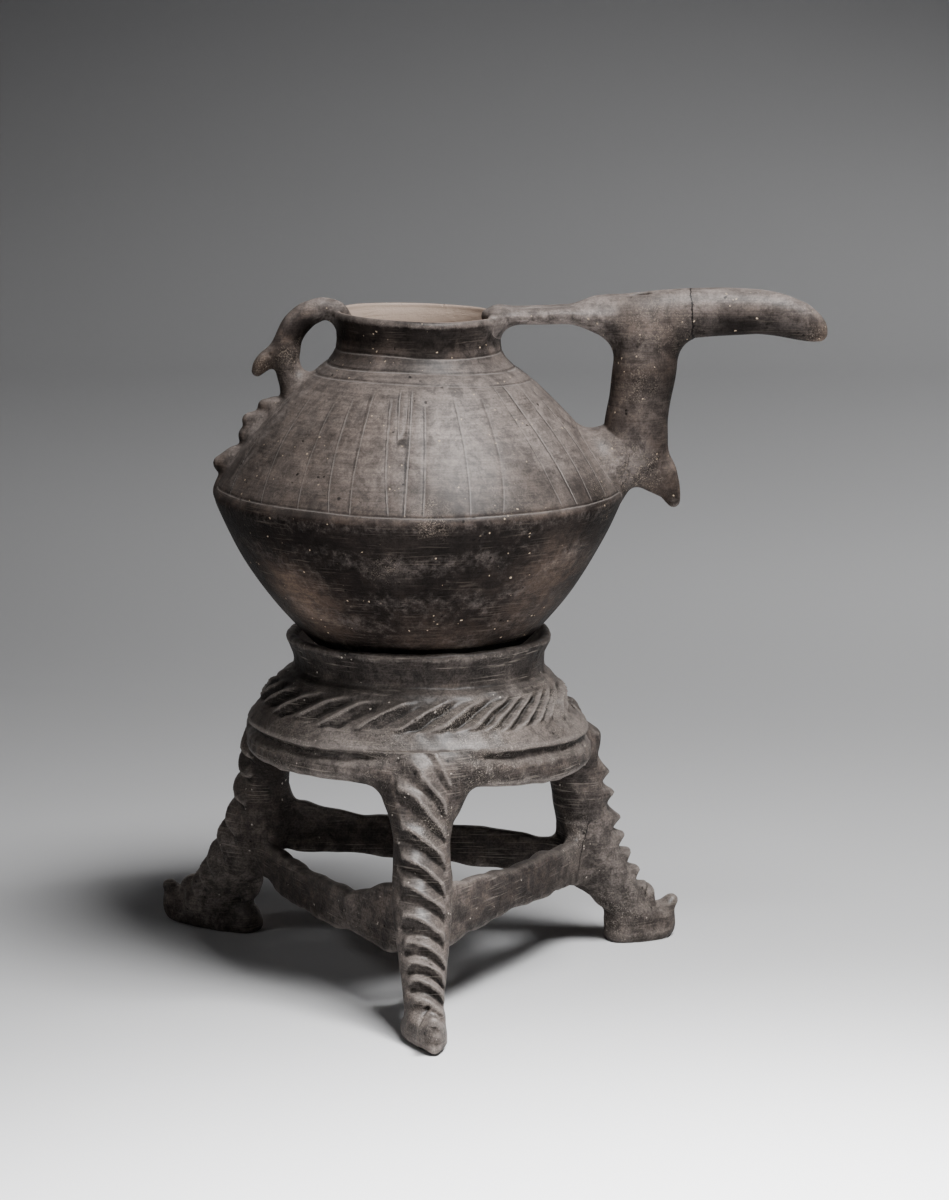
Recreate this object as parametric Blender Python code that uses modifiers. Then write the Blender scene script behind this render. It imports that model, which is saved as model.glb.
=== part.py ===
# A spouted jar of burnished grey clay, standing in its own three-legged stand.
# The floor is z = 0, the beak of the spout points along +X and one leg points along -Y.

import math

import bmesh
import bpy
from mathutils import Matrix, Vector

# Driving dimensions of the jar, in metres
jar_radius = 0.1105  # at the sharp turn of the body
jar_height = 0.191  # base to rim
jar_sink = 0.019  # base of the jar below the crest of the stand's lip
jar_wall = 0.0052
rim_lean = math.radians(1.9)  # the neck was thrown a little down toward the spout

# Driving dimensions of the spout and the handle
column_place = 0.1200  # axis of the jar to the axis of the spout's column
column_radius = 0.0155
spout_channel = 0.0085  # radius of the hole up the column
spout_reach = 0.2185  # axis of the jar to the tip of the beak
beak_half_height = 0.0142
beak_width_share = 0.86  # width of the beak over its height
bridge_width = 0.026
bridge_thickness = 0.0085
handle_radius = 0.0070
handle_reach = 0.0880  # axis of the jar to the tip of the animal's snout
knob_radius = 0.0062

# Driving dimensions of the stand
stand_height = 0.1895  # floor to the crest of the lip
ring_radius = 0.0930  # edge under the slanted flutes
flute_count = 30
flute_height = 0.0025
flute_slant = math.radians(50.0)  # away from straight down the crown of the ring
leg_thickness = 0.0310
leg_ridges = 9
ridge_height = 0.0024
heel_share = 1.226  # axis of the stand to the back of a heel, over the ring's radius
toe_shares = [1.774, 1.742, 1.935]  # the same for the tip of each toe
leg_turns = [1.5, 119.0, -121.5]  # the legs' own directions, in degrees from the front
foot_swings = [0.0, -3.0, -3.5]  # how far each foot is turned from its leg, in degrees
ring_lean_side = math.radians(1.4)  # the ring was set a little low on the spout's side
ring_lean_back = math.radians(2.2)  # and a little high over the front leg
foot_width = 0.0240
strut_thickness = 0.0095
strut_heights = [0.0250, 0.0205, 0.0210]
strut_levels = [(0.056, 0.054, 0.048), (0.046, 0.0555, 0.066), (0.052, 0.044, 0.053)]

clearance = 0.0003  # between the jar and its seat
turn_steps = 34  # sides of a turned shape
base_level = stand_height - jar_sink
heel_place = heel_share * ring_radius
foot_reaches = [share * ring_radius for share in toe_shares]

# Outer wall of the jar from the rim to the base, as shares of its radius and height
jar_wall_shares = [
    (0.398, 1.000), (0.411, 0.994), (0.394, 0.911), (0.406, 0.884), (0.438, 0.868),
    (0.520, 0.832), (0.605, 0.791), (0.740, 0.710), (0.872, 0.618), (0.950, 0.550),
    (0.990, 0.510), (1.000, 0.495), (0.993, 0.478), (0.940, 0.400), (0.845, 0.299),
    (0.701, 0.181), (0.560, 0.092), (0.425, 0.027), (0.335, 0.000),
]
neck_share = 0.80  # height share where the lean of the neck starts

# Outer side of the stand's ring from the lip to its lower edge, as shares of the
# ring's radius and the stand's height
ring_shares = [
    (0.735, 1.000), (0.768, 0.995), (0.775, 0.983), (0.734, 0.942), (0.728, 0.915),
    (0.737, 0.892), (0.783, 0.880), (0.842, 0.846), (0.905, 0.804), (0.996, 0.738),
    (0.990, 0.723), (0.972, 0.717), (1.001, 0.706), (1.012, 0.680), (1.006, 0.654),
    (0.975, 0.641),
]

# Middle line of a leg from the ring to the ankle: distance out over the ring's radius,
# height over the stand's height, thickness over the leg's thickness
leg_shares = [
    (0.950, 0.725, 0.55), (1.000, 0.670, 0.84), (1.030, 0.590, 0.90), (1.060, 0.500, 0.90),
    (1.098, 0.415, 0.95), (1.145, 0.325, 1.02), (1.215, 0.248, 0.97), (1.325, 0.170, 0.84),
    (1.420, 0.105, 0.72), (1.500, 0.055, 0.52),
]


def clear_scene():
    for item in list(bpy.data.objects):
        bpy.data.objects.remove(item, do_unlink=True)


def collection(name):
    made = bpy.data.collections.new(name)
    bpy.context.scene.collection.children.link(made)
    return made


def clay(name, colour, roughness):
    made = bpy.data.materials.new(name)
    made.use_nodes = True
    shader = made.node_tree.nodes["Principled BSDF"]
    shader.inputs["Base Color"].default_value = (*colour, 1.0)
    shader.inputs["Roughness"].default_value = roughness
    shader.inputs["Metallic"].default_value = 0.0
    return made


def as_mesh(item, home):
    # The evaluated shape of an object, welded, as a plain mesh object in its place
    graph = bpy.context.evaluated_depsgraph_get()
    mesh = bpy.data.meshes.new_from_object(item.evaluated_get(graph))
    mesh.transform(item.matrix_world)
    shape = bmesh.new()
    shape.from_mesh(mesh)
    bmesh.ops.remove_doubles(shape, verts=shape.verts, dist=0.00001)
    bmesh.ops.recalc_face_normals(shape, faces=shape.faces)
    shape.to_mesh(mesh)
    shape.free()
    name = item.name
    bpy.data.objects.remove(item, do_unlink=True)
    made = bpy.data.objects.new(name, mesh)
    home.objects.link(made)
    return made


def turned(name, points, home):
    # A solid of revolution from (distance out, height) pairs, top to bottom
    mesh = bpy.data.meshes.new(name)
    corners = [(out, 0.0, height) for out, height in points]
    mesh.from_pydata(corners, [(i, i + 1) for i in range(len(corners) - 1)], [])
    item = bpy.data.objects.new(name, mesh)
    home.objects.link(item)
    screw = item.modifiers.new("Turn", "SCREW")
    screw.steps = turn_steps
    screw.render_steps = turn_steps
    screw.use_merge_vertices = True
    screw.merge_threshold = 0.00005
    item.rotation_euler.z = math.pi / turn_steps
    bpy.context.view_layer.update()
    return as_mesh(item, home)


def limb(name, points, home, width_share=1.0, roll=0.11):
    # A clay limb in the XZ plane through (x, z, radius) points, widened along Y; the
    # roll keeps the corners of two limbs that meet from lying on one plane
    curve = bpy.data.curves.new(name, "CURVE")
    curve.dimensions = "3D"
    curve.twist_mode = "Z_UP"
    curve.bevel_depth = 1.0
    curve.bevel_resolution = 2
    curve.use_fill_caps = True
    spline = curve.splines.new("POLY")
    spline.points.add(len(points) - 1)
    for point, (x, z, radius) in zip(spline.points, points):
        point.co = (x, 0.0, z, 1.0)
        point.radius = radius
        point.tilt = roll
    item = bpy.data.objects.new(name, curve)
    item.scale = (1.0, width_share, 1.0)
    home.objects.link(item)
    bpy.context.view_layer.update()
    return as_mesh(item, home)


def lump(name, place, size, home, turn=None, rings=3):
    # An egg of clay with the given half sizes, turned and then set in its place
    mesh = bpy.data.meshes.new(name)
    shape = bmesh.new()
    bmesh.ops.create_uvsphere(shape, u_segments=6, v_segments=rings, radius=1.0)
    shape.to_mesh(mesh)
    shape.free()
    scale = Matrix.Diagonal((*size, 1.0))
    mesh.transform(Matrix.Translation(place) @ (turn or Matrix.Identity(4)) @ scale)
    item = bpy.data.objects.new(name, mesh)
    home.objects.link(item)
    return item


def block(name, low, high, home):
    mesh = bpy.data.meshes.new(name)
    shape = bmesh.new()
    bmesh.ops.create_cube(shape, size=1.0)
    shape.to_mesh(mesh)
    shape.free()
    middle = (Vector(low) + Vector(high)) / 2.0
    size = Vector(high) - Vector(low)
    mesh.transform(Matrix.Translation(middle) @ Matrix.Diagonal((*size, 1.0)))
    item = bpy.data.objects.new(name, mesh)
    home.objects.link(item)
    return item


def combine(item, others, operation, solver="EXACT"):
    # Joins the others to the item, or cuts them out of it, one after another
    for other in others:
        step = item.modifiers.new(other.name, "BOOLEAN")
        step.operation = operation
        step.solver = solver
        step.object = other
        other.hide_render = True
        other.display_type = "WIRE"
        bpy.context.view_layer.update()
        graph = bpy.context.evaluated_depsgraph_get()
        joined = bpy.data.meshes.new_from_object(item.evaluated_get(graph))
        item.modifiers.clear()
        item.data = joined


def lean_neck(item):
    # Lowers the spout's side of the neck and raises the handle's side
    start = base_level + neck_share * jar_height
    for vertex in item.data.vertices:
        share = (vertex.co.z - start) / ((1.0 - neck_share) * jar_height)
        share = min(max(share, 0.0), 1.0)
        vertex.co.z -= math.tan(rim_lean) * vertex.co.x * share


def jar_outline():
    return [(out * jar_radius, base_level + up * jar_height) for out, up in jar_wall_shares]


def jar_radius_at(height):
    # Radius of the outer wall below its widest turn, at a height above the floor
    points = [point for point in jar_outline() if point[1] <= base_level + 0.495 * jar_height]
    for (out_a, up_a), (out_b, up_b) in zip(points, points[1:]):
        if up_b <= height <= up_a:
            return out_b + (out_a - out_b) * (height - up_b) / (up_a - up_b)
    return points[-1][0]


def inset(points, depth):
    # The same outline moved inward, each point along the normal of its neighbours
    moved = []
    for i in range(1, len(points) - 1):
        along = Vector(points[i + 1]) - Vector(points[i - 1])
        normal = Vector((along.y, -along.x)).normalized()
        moved.append(tuple(Vector(points[i]) + normal * depth))
    return moved


def jar_hollow(home):
    # The space inside the jar, open through the mouth
    outline = jar_outline()
    floor = base_level + 1.15 * jar_wall
    wall = [point for point in inset(outline, jar_wall) if point[1] > floor + 0.4 * jar_wall]
    mouth_low, wall = wall[1], wall[3::2] + wall[-1:]
    rim = outline[0]
    mouth = [
        (0.0, rim[1] + 0.03),
        (rim[0] + 0.0004, rim[1] + 0.03),
        (rim[0] - 0.0008, rim[1] - 0.0006),
        (rim[0] - 0.0022, rim[1] - 0.0040),
        mouth_low,
    ]
    corner = (wall[-1][0] - 0.6 * jar_wall, floor)
    hollow = turned("hollow", mouth + wall + [corner, (0.0, floor)], home)
    lean_neck(hollow)
    return hollow


def spout(home):
    # The bridge from the rim, the column with its hanging tip, and the beak
    top = base_level + 0.975 * jar_height
    rim_side = 0.80 * 0.398 * jar_radius
    beak = spout_reach - column_place
    tall = beak_half_height
    bridge = limb(
        "bridge",
        [
            (rim_side, top + 0.0010, 0.50 * bridge_thickness),
            (0.43 * column_place, top + 0.0030, 0.50 * bridge_thickness),
            (column_place - 0.042, top + 0.0040, 0.52 * bridge_thickness),
            (column_place - 0.026, top + 0.0030, 0.66 * bridge_thickness),
            (column_place - 0.010, top - 0.0010, 0.95 * bridge_thickness),
        ],
        home,
        bridge_width / bridge_thickness,
    )
    # the end toward the column is no wider than the column itself
    for vertex in bridge.data.vertices:
        limit = 0.50 * bridge_width
        vertex.co.y = min(max(vertex.co.y, -limit), limit)
    fat = column_radius
    column = limb(
        "column",
        [
            (0.86 * jar_radius, base_level + 0.545 * jar_height, 1.05 * fat),
            (0.97 * jar_radius, base_level + 0.610 * jar_height, 1.12 * fat),
            (column_place - 0.004, base_level + 0.680 * jar_height, 1.02 * fat),
            (column_place - 0.001, base_level + 0.780 * jar_height, 0.98 * fat),
            (column_place + 0.001, base_level + 0.880 * jar_height, 1.03 * fat),
            (column_place + 0.002, top + 0.0010, 1.00 * fat),
        ],
        home,
    )
    wattle = limb(
        "wattle",
        [
            (column_place + 0.002, base_level + 0.640 * jar_height, 0.75 * fat),
            (column_place + 0.010, base_level + 0.570 * jar_height, 0.56 * fat),
            (column_place + 0.015, base_level + 0.510 * jar_height, 0.34 * fat),
            (column_place + 0.0185, base_level + 0.468 * jar_height, 0.16 * fat),
        ],
        home,
        roll=0.33,
    )
    root = limb(
        "root",
        [
            (0.84 * jar_radius, base_level + 0.560 * jar_height, 0.50 * fat),
            (0.86 * jar_radius, base_level + 0.600 * jar_height, 0.70 * fat),
            (1.00 * jar_radius, base_level + 0.575 * jar_height, 0.78 * fat),
            (column_place + 0.004, base_level + 0.575 * jar_height, 0.72 * fat),
            (column_place + 0.010, base_level + 0.570 * jar_height, 0.58 * fat),
        ],
        home,
        1.35,
        roll=0.21,
    )
    horn = limb(
        "beak",
        [
            (column_place - 0.019, top + 0.0030, 0.45 * tall),
            (column_place - 0.013, top + 0.0022, 0.78 * tall),
            (column_place - 0.004, top + 0.0030, 0.96 * tall),
            (column_place + 0.20 * beak, top + 0.0065, 1.00 * tall),
            (column_place + 0.42 * beak, top + 0.0070, 0.96 * tall),
            (column_place + 0.63 * beak, top + 0.0060, 0.85 * tall),
            (column_place + 0.79 * beak, top + 0.0035, 0.77 * tall),
            (column_place + 0.90 * beak, top - 0.0012, 0.62 * tall),
            (column_place + 0.955 * beak, top - 0.0060, 0.42 * tall),
            (column_place + 0.985 * beak, top - 0.0095, 0.20 * tall),
        ],
        home,
        beak_width_share,
    )
    saddle = lump(
        "saddle",
        Vector((0.875 * jar_radius, 0.0, base_level + 0.632 * jar_height)),
        (0.75 * fat, 0.85 * fat, 0.62 * fat),
        home,
    )
    return [column, root, saddle, wattle, horn, bridge]


def spout_cuts(home):
    # The hole up the column, and the open trough along the top of the beak
    top = base_level + 0.975 * jar_height
    beak = spout_reach - column_place
    tall = beak_half_height
    bore = spout_channel
    channel = limb(
        "channel",
        [
            (0.78 * jar_radius, base_level + 0.500 * jar_height, bore),
            (0.96 * jar_radius, base_level + 0.600 * jar_height, bore),
            (column_place - 0.002, base_level + 0.690 * jar_height, bore),
            (column_place, base_level + 0.880 * jar_height, bore),
            (column_place + 0.001, top + 0.0100, bore * 0.8),
        ],
        home,
    )
    trough = limb(
        "trough",
        [
            (column_place - 0.70 * column_radius, top + 1.35 * tall, 0.60 * tall),
            (column_place - 0.20 * column_radius, top + 1.30 * tall, 0.85 * tall),
            (column_place + 0.20 * beak, top + 1.45 * tall, 0.75 * tall),
            (column_place + 0.42 * beak, top + 1.46 * tall, 0.62 * tall),
            (column_place + 0.63 * beak, top + 1.28 * tall, 0.46 * tall),
            (column_place + 0.79 * beak, top + 1.02 * tall, 0.34 * tall),
            (column_place + 0.90 * beak, top + 0.62 * tall, 0.22 * tall),
        ],
        home,
        0.62,
    )
    return [channel, trough]


def handle(home):
    # A loop like the neck of an animal, its snout hanging outside the loop
    top = base_level + jar_height
    fat = handle_radius
    out = handle_reach
    neck = limb(
        "neck_of_handle",
        [
            (-0.455 * out, top - 0.001, 0.80 * fat),
            (-0.540 * out, top + 0.0025, 0.85 * fat),
            (-0.640 * out, top + 0.0010, 0.92 * fat),
            (-0.730 * out, top - 0.0050, 1.00 * fat),
            (-0.785 * out, top - 0.0125, 1.05 * fat),
            (-0.800 * out, top - 0.0210, 1.08 * fat),
            (-0.780 * out, top - 0.0310, 1.02 * fat),
            (-0.755 * out, top - 0.0400, 1.15 * fat),
            (-0.720 * out, top - 0.0500, 1.25 * fat),
        ],
        home,
    )
    snout = limb(
        "snout",
        [
            (-0.780 * out, top - 0.0150, 0.95 * fat),
            (-0.850 * out, top - 0.0215, 0.92 * fat),
            (-0.925 * out, top - 0.0275, 0.72 * fat),
            (-0.972 * out, top - 0.0315, 0.42 * fat),
        ],
        home,
        roll=0.40,
    )
    return [neck, snout]


def knobs(home):
    # The row of knobs pressed on the shoulder under the handle
    fat = knob_radius
    row = [
        (0.715, 0.740, 0.95), (0.790, 0.692, 1.15), (0.820, 0.645, 1.00),
        (0.935, 0.572, 1.20), (0.945, 0.524, 0.85),
    ]
    made = []
    for i, (out, up, share) in enumerate(row):
        place = Vector((-out * jar_radius, 0.0, base_level + up * jar_height))
        size = (share * fat, share * fat * 1.05, share * fat * 0.95)
        made.append(lump("knob_%d" % i, place, size, home, rings=4))
    return made


def make_jar(home, tools, material):
    outline = jar_outline()
    jar = turned("spouted_jar", [(0.0, outline[0][1])] + outline + [(0.0, base_level)], home)
    lean_neck(jar)
    combine(jar, spout(tools) + handle(tools) + knobs(tools), "UNION", "MANIFOLD")
    combine(jar, [jar_hollow(tools)] + spout_cuts(tools), "DIFFERENCE", "MANIFOLD")
    jar.data.materials.clear()
    jar.data.materials.append(material)
    return jar


def ring_outline():
    return [(out * ring_radius, up * stand_height) for out, up in ring_shares]


def seat_point():
    # Where the lower wall of the jar rests, one clearance away from it
    height = base_level + 0.0085
    return jar_radius_at(height) + 1.6 * clearance, height


def stand_hollow(home):
    # The way through the ring: the mouth round the jar, its seat, the space below
    crest_out, crest_up = ring_outline()[0]
    seat_out, seat_up = seat_point()
    collar = 0.730 * ring_radius
    low_out, low_up = ring_outline()[-1]
    thick = 0.0072
    return turned(
        "way_through",
        [
            (0.0, crest_up + 0.01),
            (crest_out - 0.001, crest_up + 0.01),
            (crest_out - 0.0015, crest_up - 0.0006),
            (crest_out - 0.0045, crest_up - 0.0045),
            (collar - 0.0065, seat_up + 0.0035),
            (seat_out, seat_up),
            (seat_out + 0.0010, seat_up - 0.0065),
            (0.78 * ring_radius - thick, 0.885 * stand_height - thick),
            (0.91 * ring_radius - thick, 0.818 * stand_height - thick),
            (0.985 * ring_radius - thick, 0.745 * stand_height - thick),
            (low_out - 0.7 * thick, low_up - 0.01),
            (0.0, low_up - 0.01),
        ],
        home,
    )


def flutes(home):
    # Slanted ridges of clay round the crown of the ring, joined as one shape
    high = Vector((0.815 * ring_radius, 0.862 * stand_height))
    low = Vector((0.945 * ring_radius, 0.777 * stand_height))
    middle = (high + low) / 2.0
    slope = math.atan2(high.y - low.y, low.x - high.x)
    reach = (high - low).length * 0.68
    gap = 2.0 * math.pi * middle.x * math.cos(flute_slant) / flute_count
    made = []
    for i in range(flute_count):
        turn = 2.0 * math.pi * i / flute_count
        slant = Matrix.Rotation(-flute_slant, 4, "Z")
        tip = Matrix.Rotation(slope, 4, "Y") @ slant
        place = Vector((middle.x, 0.0, middle.y))
        size = (reach, 0.40 * gap, flute_height)
        made.append(lump("flute_%d" % i, place, size, home, tip))
        made[-1].data.transform(Matrix.Rotation(turn, 4, "Z"))
    return made


def joined(name, items, home):
    # Shapes that don't touch, as one object
    shape = bmesh.new()
    for item in items:
        shape.from_mesh(item.data)
        bpy.data.objects.remove(item, do_unlink=True)
    mesh = bpy.data.meshes.new(name)
    shape.to_mesh(mesh)
    shape.free()
    made = bpy.data.objects.new(name, mesh)
    home.objects.link(made)
    return made


def leg_line():
    return [
        (out * ring_radius, up * stand_height, share * leg_thickness / 2.0)
        for out, up, share in leg_shares
    ]


def leg_face(share):
    # A point of the outer face of a leg, and its slope, at a share of the face's length
    line = leg_line()
    face = []
    for i in range(len(line)):
        before = line[max(i - 1, 0)]
        after = line[min(i + 1, len(line) - 1)]
        along = Vector((after[0] - before[0], after[1] - before[1])).normalized()
        outward = Vector((-along.y, along.x))
        face.append(Vector(line[i][:2]) + outward * line[i][2])
    lengths = [(b - a).length for a, b in zip(face, face[1:])]
    left = share * sum(lengths)
    for a, b, length in zip(face, face[1:], lengths):
        if left <= length:
            return a.lerp(b, left / length), (b - a).normalized()
        left -= length
    return face[-1], (face[-1] - face[-2]).normalized()


def leg_parts(foot_reach, home):
    # One leg along +X: its limb, its foot and toe, and the ridges down its face
    limb_shape = limb("leg", leg_line(), home, 1.08)
    web = lump(
        "web",
        Vector((0.965 * ring_radius, 0.0, 0.655 * stand_height)),
        (0.0115, 1.05 * leg_thickness, 0.075 * stand_height),
        home,
    )
    ankle = leg_line()[-2]
    half = foot_width / 2.0
    foot = limb(
        "foot",
        [
            (heel_place, 0.0080, 0.35 * half),
            (heel_place + 0.0020, 0.0080, 0.66 * half),
            (heel_place + 0.0080, 0.0090, 0.95 * half),
            (ankle[0] + 0.0020, 0.0100, 1.05 * half),
            (0.5 * (ankle[0] + foot_reach), 0.0090, 0.95 * half),
            (foot_reach - 0.0080, 0.0090, 0.82 * half),
            (foot_reach - 0.0025, 0.0110, 0.66 * half),
            (foot_reach - 0.0002, 0.0110, 0.38 * half),
        ],
        home,
        roll=0.27,
    )
    toe = limb(
        "toe",
        [
            (foot_reach - 0.0150, 0.0100, 0.60 * half),
            (foot_reach - 0.0060, 0.0155, 0.46 * half),
            (foot_reach - 0.0010, 0.0200, 0.26 * half),
        ],
        home,
        1.25,
        roll=0.45,
    )
    ridges = []
    for i in range(leg_ridges):
        place, along = leg_face(0.16 + 0.71 * i / (leg_ridges - 1))
        place -= 0.3 * ridge_height * Vector((-along.y, along.x))
        slope = math.atan2(along.y, along.x)
        slant = math.radians(34.0 - 16.0 * i / (leg_ridges - 1))
        wide = leg_thickness * (0.50 - 0.13 * i / (leg_ridges - 1))
        turn = Matrix.Rotation(-slope, 4, "Y") @ Matrix.Rotation(-slant, 4, "Z")
        size = (0.0054, wide, 1.65 * ridge_height)
        ridges.append(lump("ridge_%d" % i, Vector((place.x, 0.0, place.y)), size, home, turn))
    return [limb_shape, web, foot, toe, joined("ridges", ridges, home)]


def strut(number, home):
    # A strap of clay from one leg to the next, bowed a little outward and downward
    first = math.radians(leg_turns[number] - 90.0)
    last = math.radians(leg_turns[(number + 1) % len(leg_turns)] - 90.0)
    rows = []
    steps = 6
    low, middle, high = strut_levels[number]
    inner = 1.12 * ring_radius
    for i in range(steps + 1):
        share = i / steps
        bow = 4.0 * share * (1.0 - share)
        start = Vector((inner * math.cos(first), inner * math.sin(first)))
        end = Vector((inner * math.cos(last), inner * math.sin(last)))
        place = start.lerp(end, share) * (1.0 + 0.14 * bow)
        half = strut_heights[number] / 2.0 * (1.0 + 0.30 * (1.0 - bow))
        ends = low * (1.0 - share) + high * share
        rows.append((place, ends + (middle - (low + high) / 2.0) * bow, half))
    mesh = bpy.data.meshes.new("strut")
    corners = []
    for place, height, half in rows:
        corners += [(*place, height + half), (*place, height), (*place, height - half)]
    faces = []
    for i in range(steps):
        for j in range(2):
            a = 3 * i + j
            faces.append((a, a + 1, a + 4, a + 3))
    mesh.from_pydata(corners, [], faces)
    item = bpy.data.objects.new("strut_%d" % number, mesh)
    home.objects.link(item)
    solid = item.modifiers.new("Thickness", "SOLIDIFY")
    solid.thickness = strut_thickness
    solid.offset = 0.0
    bpy.context.view_layer.update()
    return as_mesh(item, home)


def lean_ring(item):
    # Tips the ring and its band, and leaves the seat above and the feet below level
    for vertex in item.data.vertices:
        up = vertex.co.z / stand_height
        share = min(max((up - 0.45) / 0.18, 0.0), 1.0) * min(max((0.93 - up) / 0.08, 0.0), 1.0)
        drop = math.tan(ring_lean_side) * vertex.co.x + math.tan(ring_lean_back) * vertex.co.y
        vertex.co.z -= drop * share


def make_stand(home, tools, material):
    outline = ring_outline()
    ends = [(0.0, outline[0][1])], [(0.0, outline[-1][1])]
    stand = turned("tripod_stand", ends[0] + outline + ends[1], home)
    parts = [joined("flutes", flutes(tools), tools)]
    for number, turn in enumerate(leg_turns):
        more = foot_reaches[number] - foot_reaches[0]
        for part in leg_parts(foot_reaches[number], tools):
            for vertex in part.data.vertices:
                low = 1.0 - min(max(vertex.co.z / (0.4 * stand_height), 0.0), 1.0)
                if "foot" not in part.name and "toe" not in part.name:
                    vertex.co.x += 0.8 * more * low
                swing = turn - 90.0 + foot_swings[number] * low
                vertex.co.rotate(Matrix.Rotation(math.radians(swing), 3, "Z"))
            parts.append(part)
        parts.append(strut(number, tools))
    combine(stand, parts, "UNION", "MANIFOLD")
    far = 2.0 * max(foot_reaches)
    floor = block("floor", (-far, -far, -0.05), (far, far, 0.0), tools)
    combine(stand, [stand_hollow(tools), floor], "DIFFERENCE", "MANIFOLD")
    lean_ring(stand)
    stand.data.materials.clear()
    stand.data.materials.append(material)
    return stand


def set_origin(items):
    # The origin goes on the floor, under the middle of the whole object
    corners = [vertex.co for item in items for vertex in item.data.vertices]
    across, along = [
        (min(corner[i] for corner in corners) + max(corner[i] for corner in corners)) / 2.0
        for i in (0, 1)
    ]
    for item in items:
        item.data.transform(Matrix.Translation((-across, -along, 0.0)))


def main():
    clear_scene()
    home = collection("spouted_jar_on_stand")
    tools = collection("cutters")
    jar_clay = clay("jar clay", (0.060, 0.053, 0.048), 0.48)
    stand_clay = clay("stand clay", (0.095, 0.086, 0.080), 0.58)
    jar = make_jar(home, tools, jar_clay)
    stand = make_stand(home, tools, stand_clay)
    set_origin([jar, stand])
    for item in list(tools.objects):
        bpy.data.objects.remove(item, do_unlink=True)
    for item in home.objects:
        item.data.shade_smooth()
        item.data.set_sharp_from_angle(angle=math.radians(50.0))


main()
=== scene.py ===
import math
import time

import bpy
import numpy as np
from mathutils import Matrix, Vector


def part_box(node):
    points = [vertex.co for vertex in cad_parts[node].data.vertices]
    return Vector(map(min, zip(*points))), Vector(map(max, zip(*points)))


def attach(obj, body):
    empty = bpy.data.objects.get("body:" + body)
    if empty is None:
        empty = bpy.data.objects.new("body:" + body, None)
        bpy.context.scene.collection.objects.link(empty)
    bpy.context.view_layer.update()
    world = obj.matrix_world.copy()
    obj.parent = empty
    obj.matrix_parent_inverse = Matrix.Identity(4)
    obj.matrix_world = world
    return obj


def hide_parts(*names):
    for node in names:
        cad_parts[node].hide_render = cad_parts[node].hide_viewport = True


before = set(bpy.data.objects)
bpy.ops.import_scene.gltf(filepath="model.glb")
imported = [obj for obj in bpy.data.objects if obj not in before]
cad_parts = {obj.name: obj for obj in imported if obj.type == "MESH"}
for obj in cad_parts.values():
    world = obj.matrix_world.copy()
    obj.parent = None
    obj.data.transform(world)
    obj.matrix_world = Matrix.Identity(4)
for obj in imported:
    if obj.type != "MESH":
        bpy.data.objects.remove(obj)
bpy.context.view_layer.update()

import openvdb as vdb
from mathutils import Vector

# Lengths are in millimetres until a mesh is made. Here the turning axis of the jar and the
# ring is x = 0, y = 0, the beak points along +x and the front leg comes forward along -y.
started = time.time()
jarLow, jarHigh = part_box("spouted_jar")
bodyReach = 0.11003  # metres from the left end of the CAD jar to its turning axis
axisPlace = np.array([jarLow[0] + bodyReach, (jarLow[1] + jarHigh[1]) / 2, 0.0])

jarBody = {
    "radius": 110.2,  # at the sharp turn
    "height": 191.0,  # base to rim
    "base": 170.5,  # above the floor
    "wall": 5.2,
    "lipWall": 3.4,
    "lean": 1.9,  # degrees, the neck down toward the spout
    "leanFrom": 0.80,  # share of the height where the lean starts
    "softness": (1.3, 3.2, 9.0),  # of the outline: at its edges, up the neck, on the walls
    "columns": 632,
    "rows": 1.0,  # share of the full number of rows
    # lines scratched down the shoulder: degrees from the front at the top and at the foot
    "lineTops": [-80, -58, -40, -31, -21, -12, -2, 4, 18, 32, 42, 49, 60, 71],
    "lineFeet": [-66, -48, -34, -24, -18, -7, -3, 2, 15, 24, 44, 50, 57, 66],
    # lines scratched round it: height, width, depth, how far it wanders up and down
    "ringLines": {
        "turnLine": (268.4, 1.4, 0.20, 1.4), "neckLine": (342.5, 1.6, 0.25, 0.5),
        "grooveLine": (334.5, 1.5, 0.4, 1.3), "lowLine": (328.5, 1.2, 0.25, 2.4)},
}
# outer wall, base to rim, in shares of the radius and the height
jarWall = [
    (0.000, 0.000), (0.335, 0.000), (0.370, 0.007), (0.425, 0.027), (0.507, 0.065), (0.597, 0.113),
    (0.701, 0.181), (0.796, 0.254), (0.878, 0.335), (0.929, 0.387), (0.993, 0.478), (1.000, 0.495),
    (0.985, 0.516), (0.940, 0.560), (0.872, 0.618), (0.789, 0.678), (0.691, 0.738), (0.597, 0.795),
    (0.527, 0.829), (0.470, 0.853), (0.436, 0.868), (0.412, 0.885), (0.399, 0.905), (0.395, 0.926),
    (0.398, 0.950), (0.406, 0.974), (0.413, 0.989), (0.413, 0.997), (0.402, 1.001),
]

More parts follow.
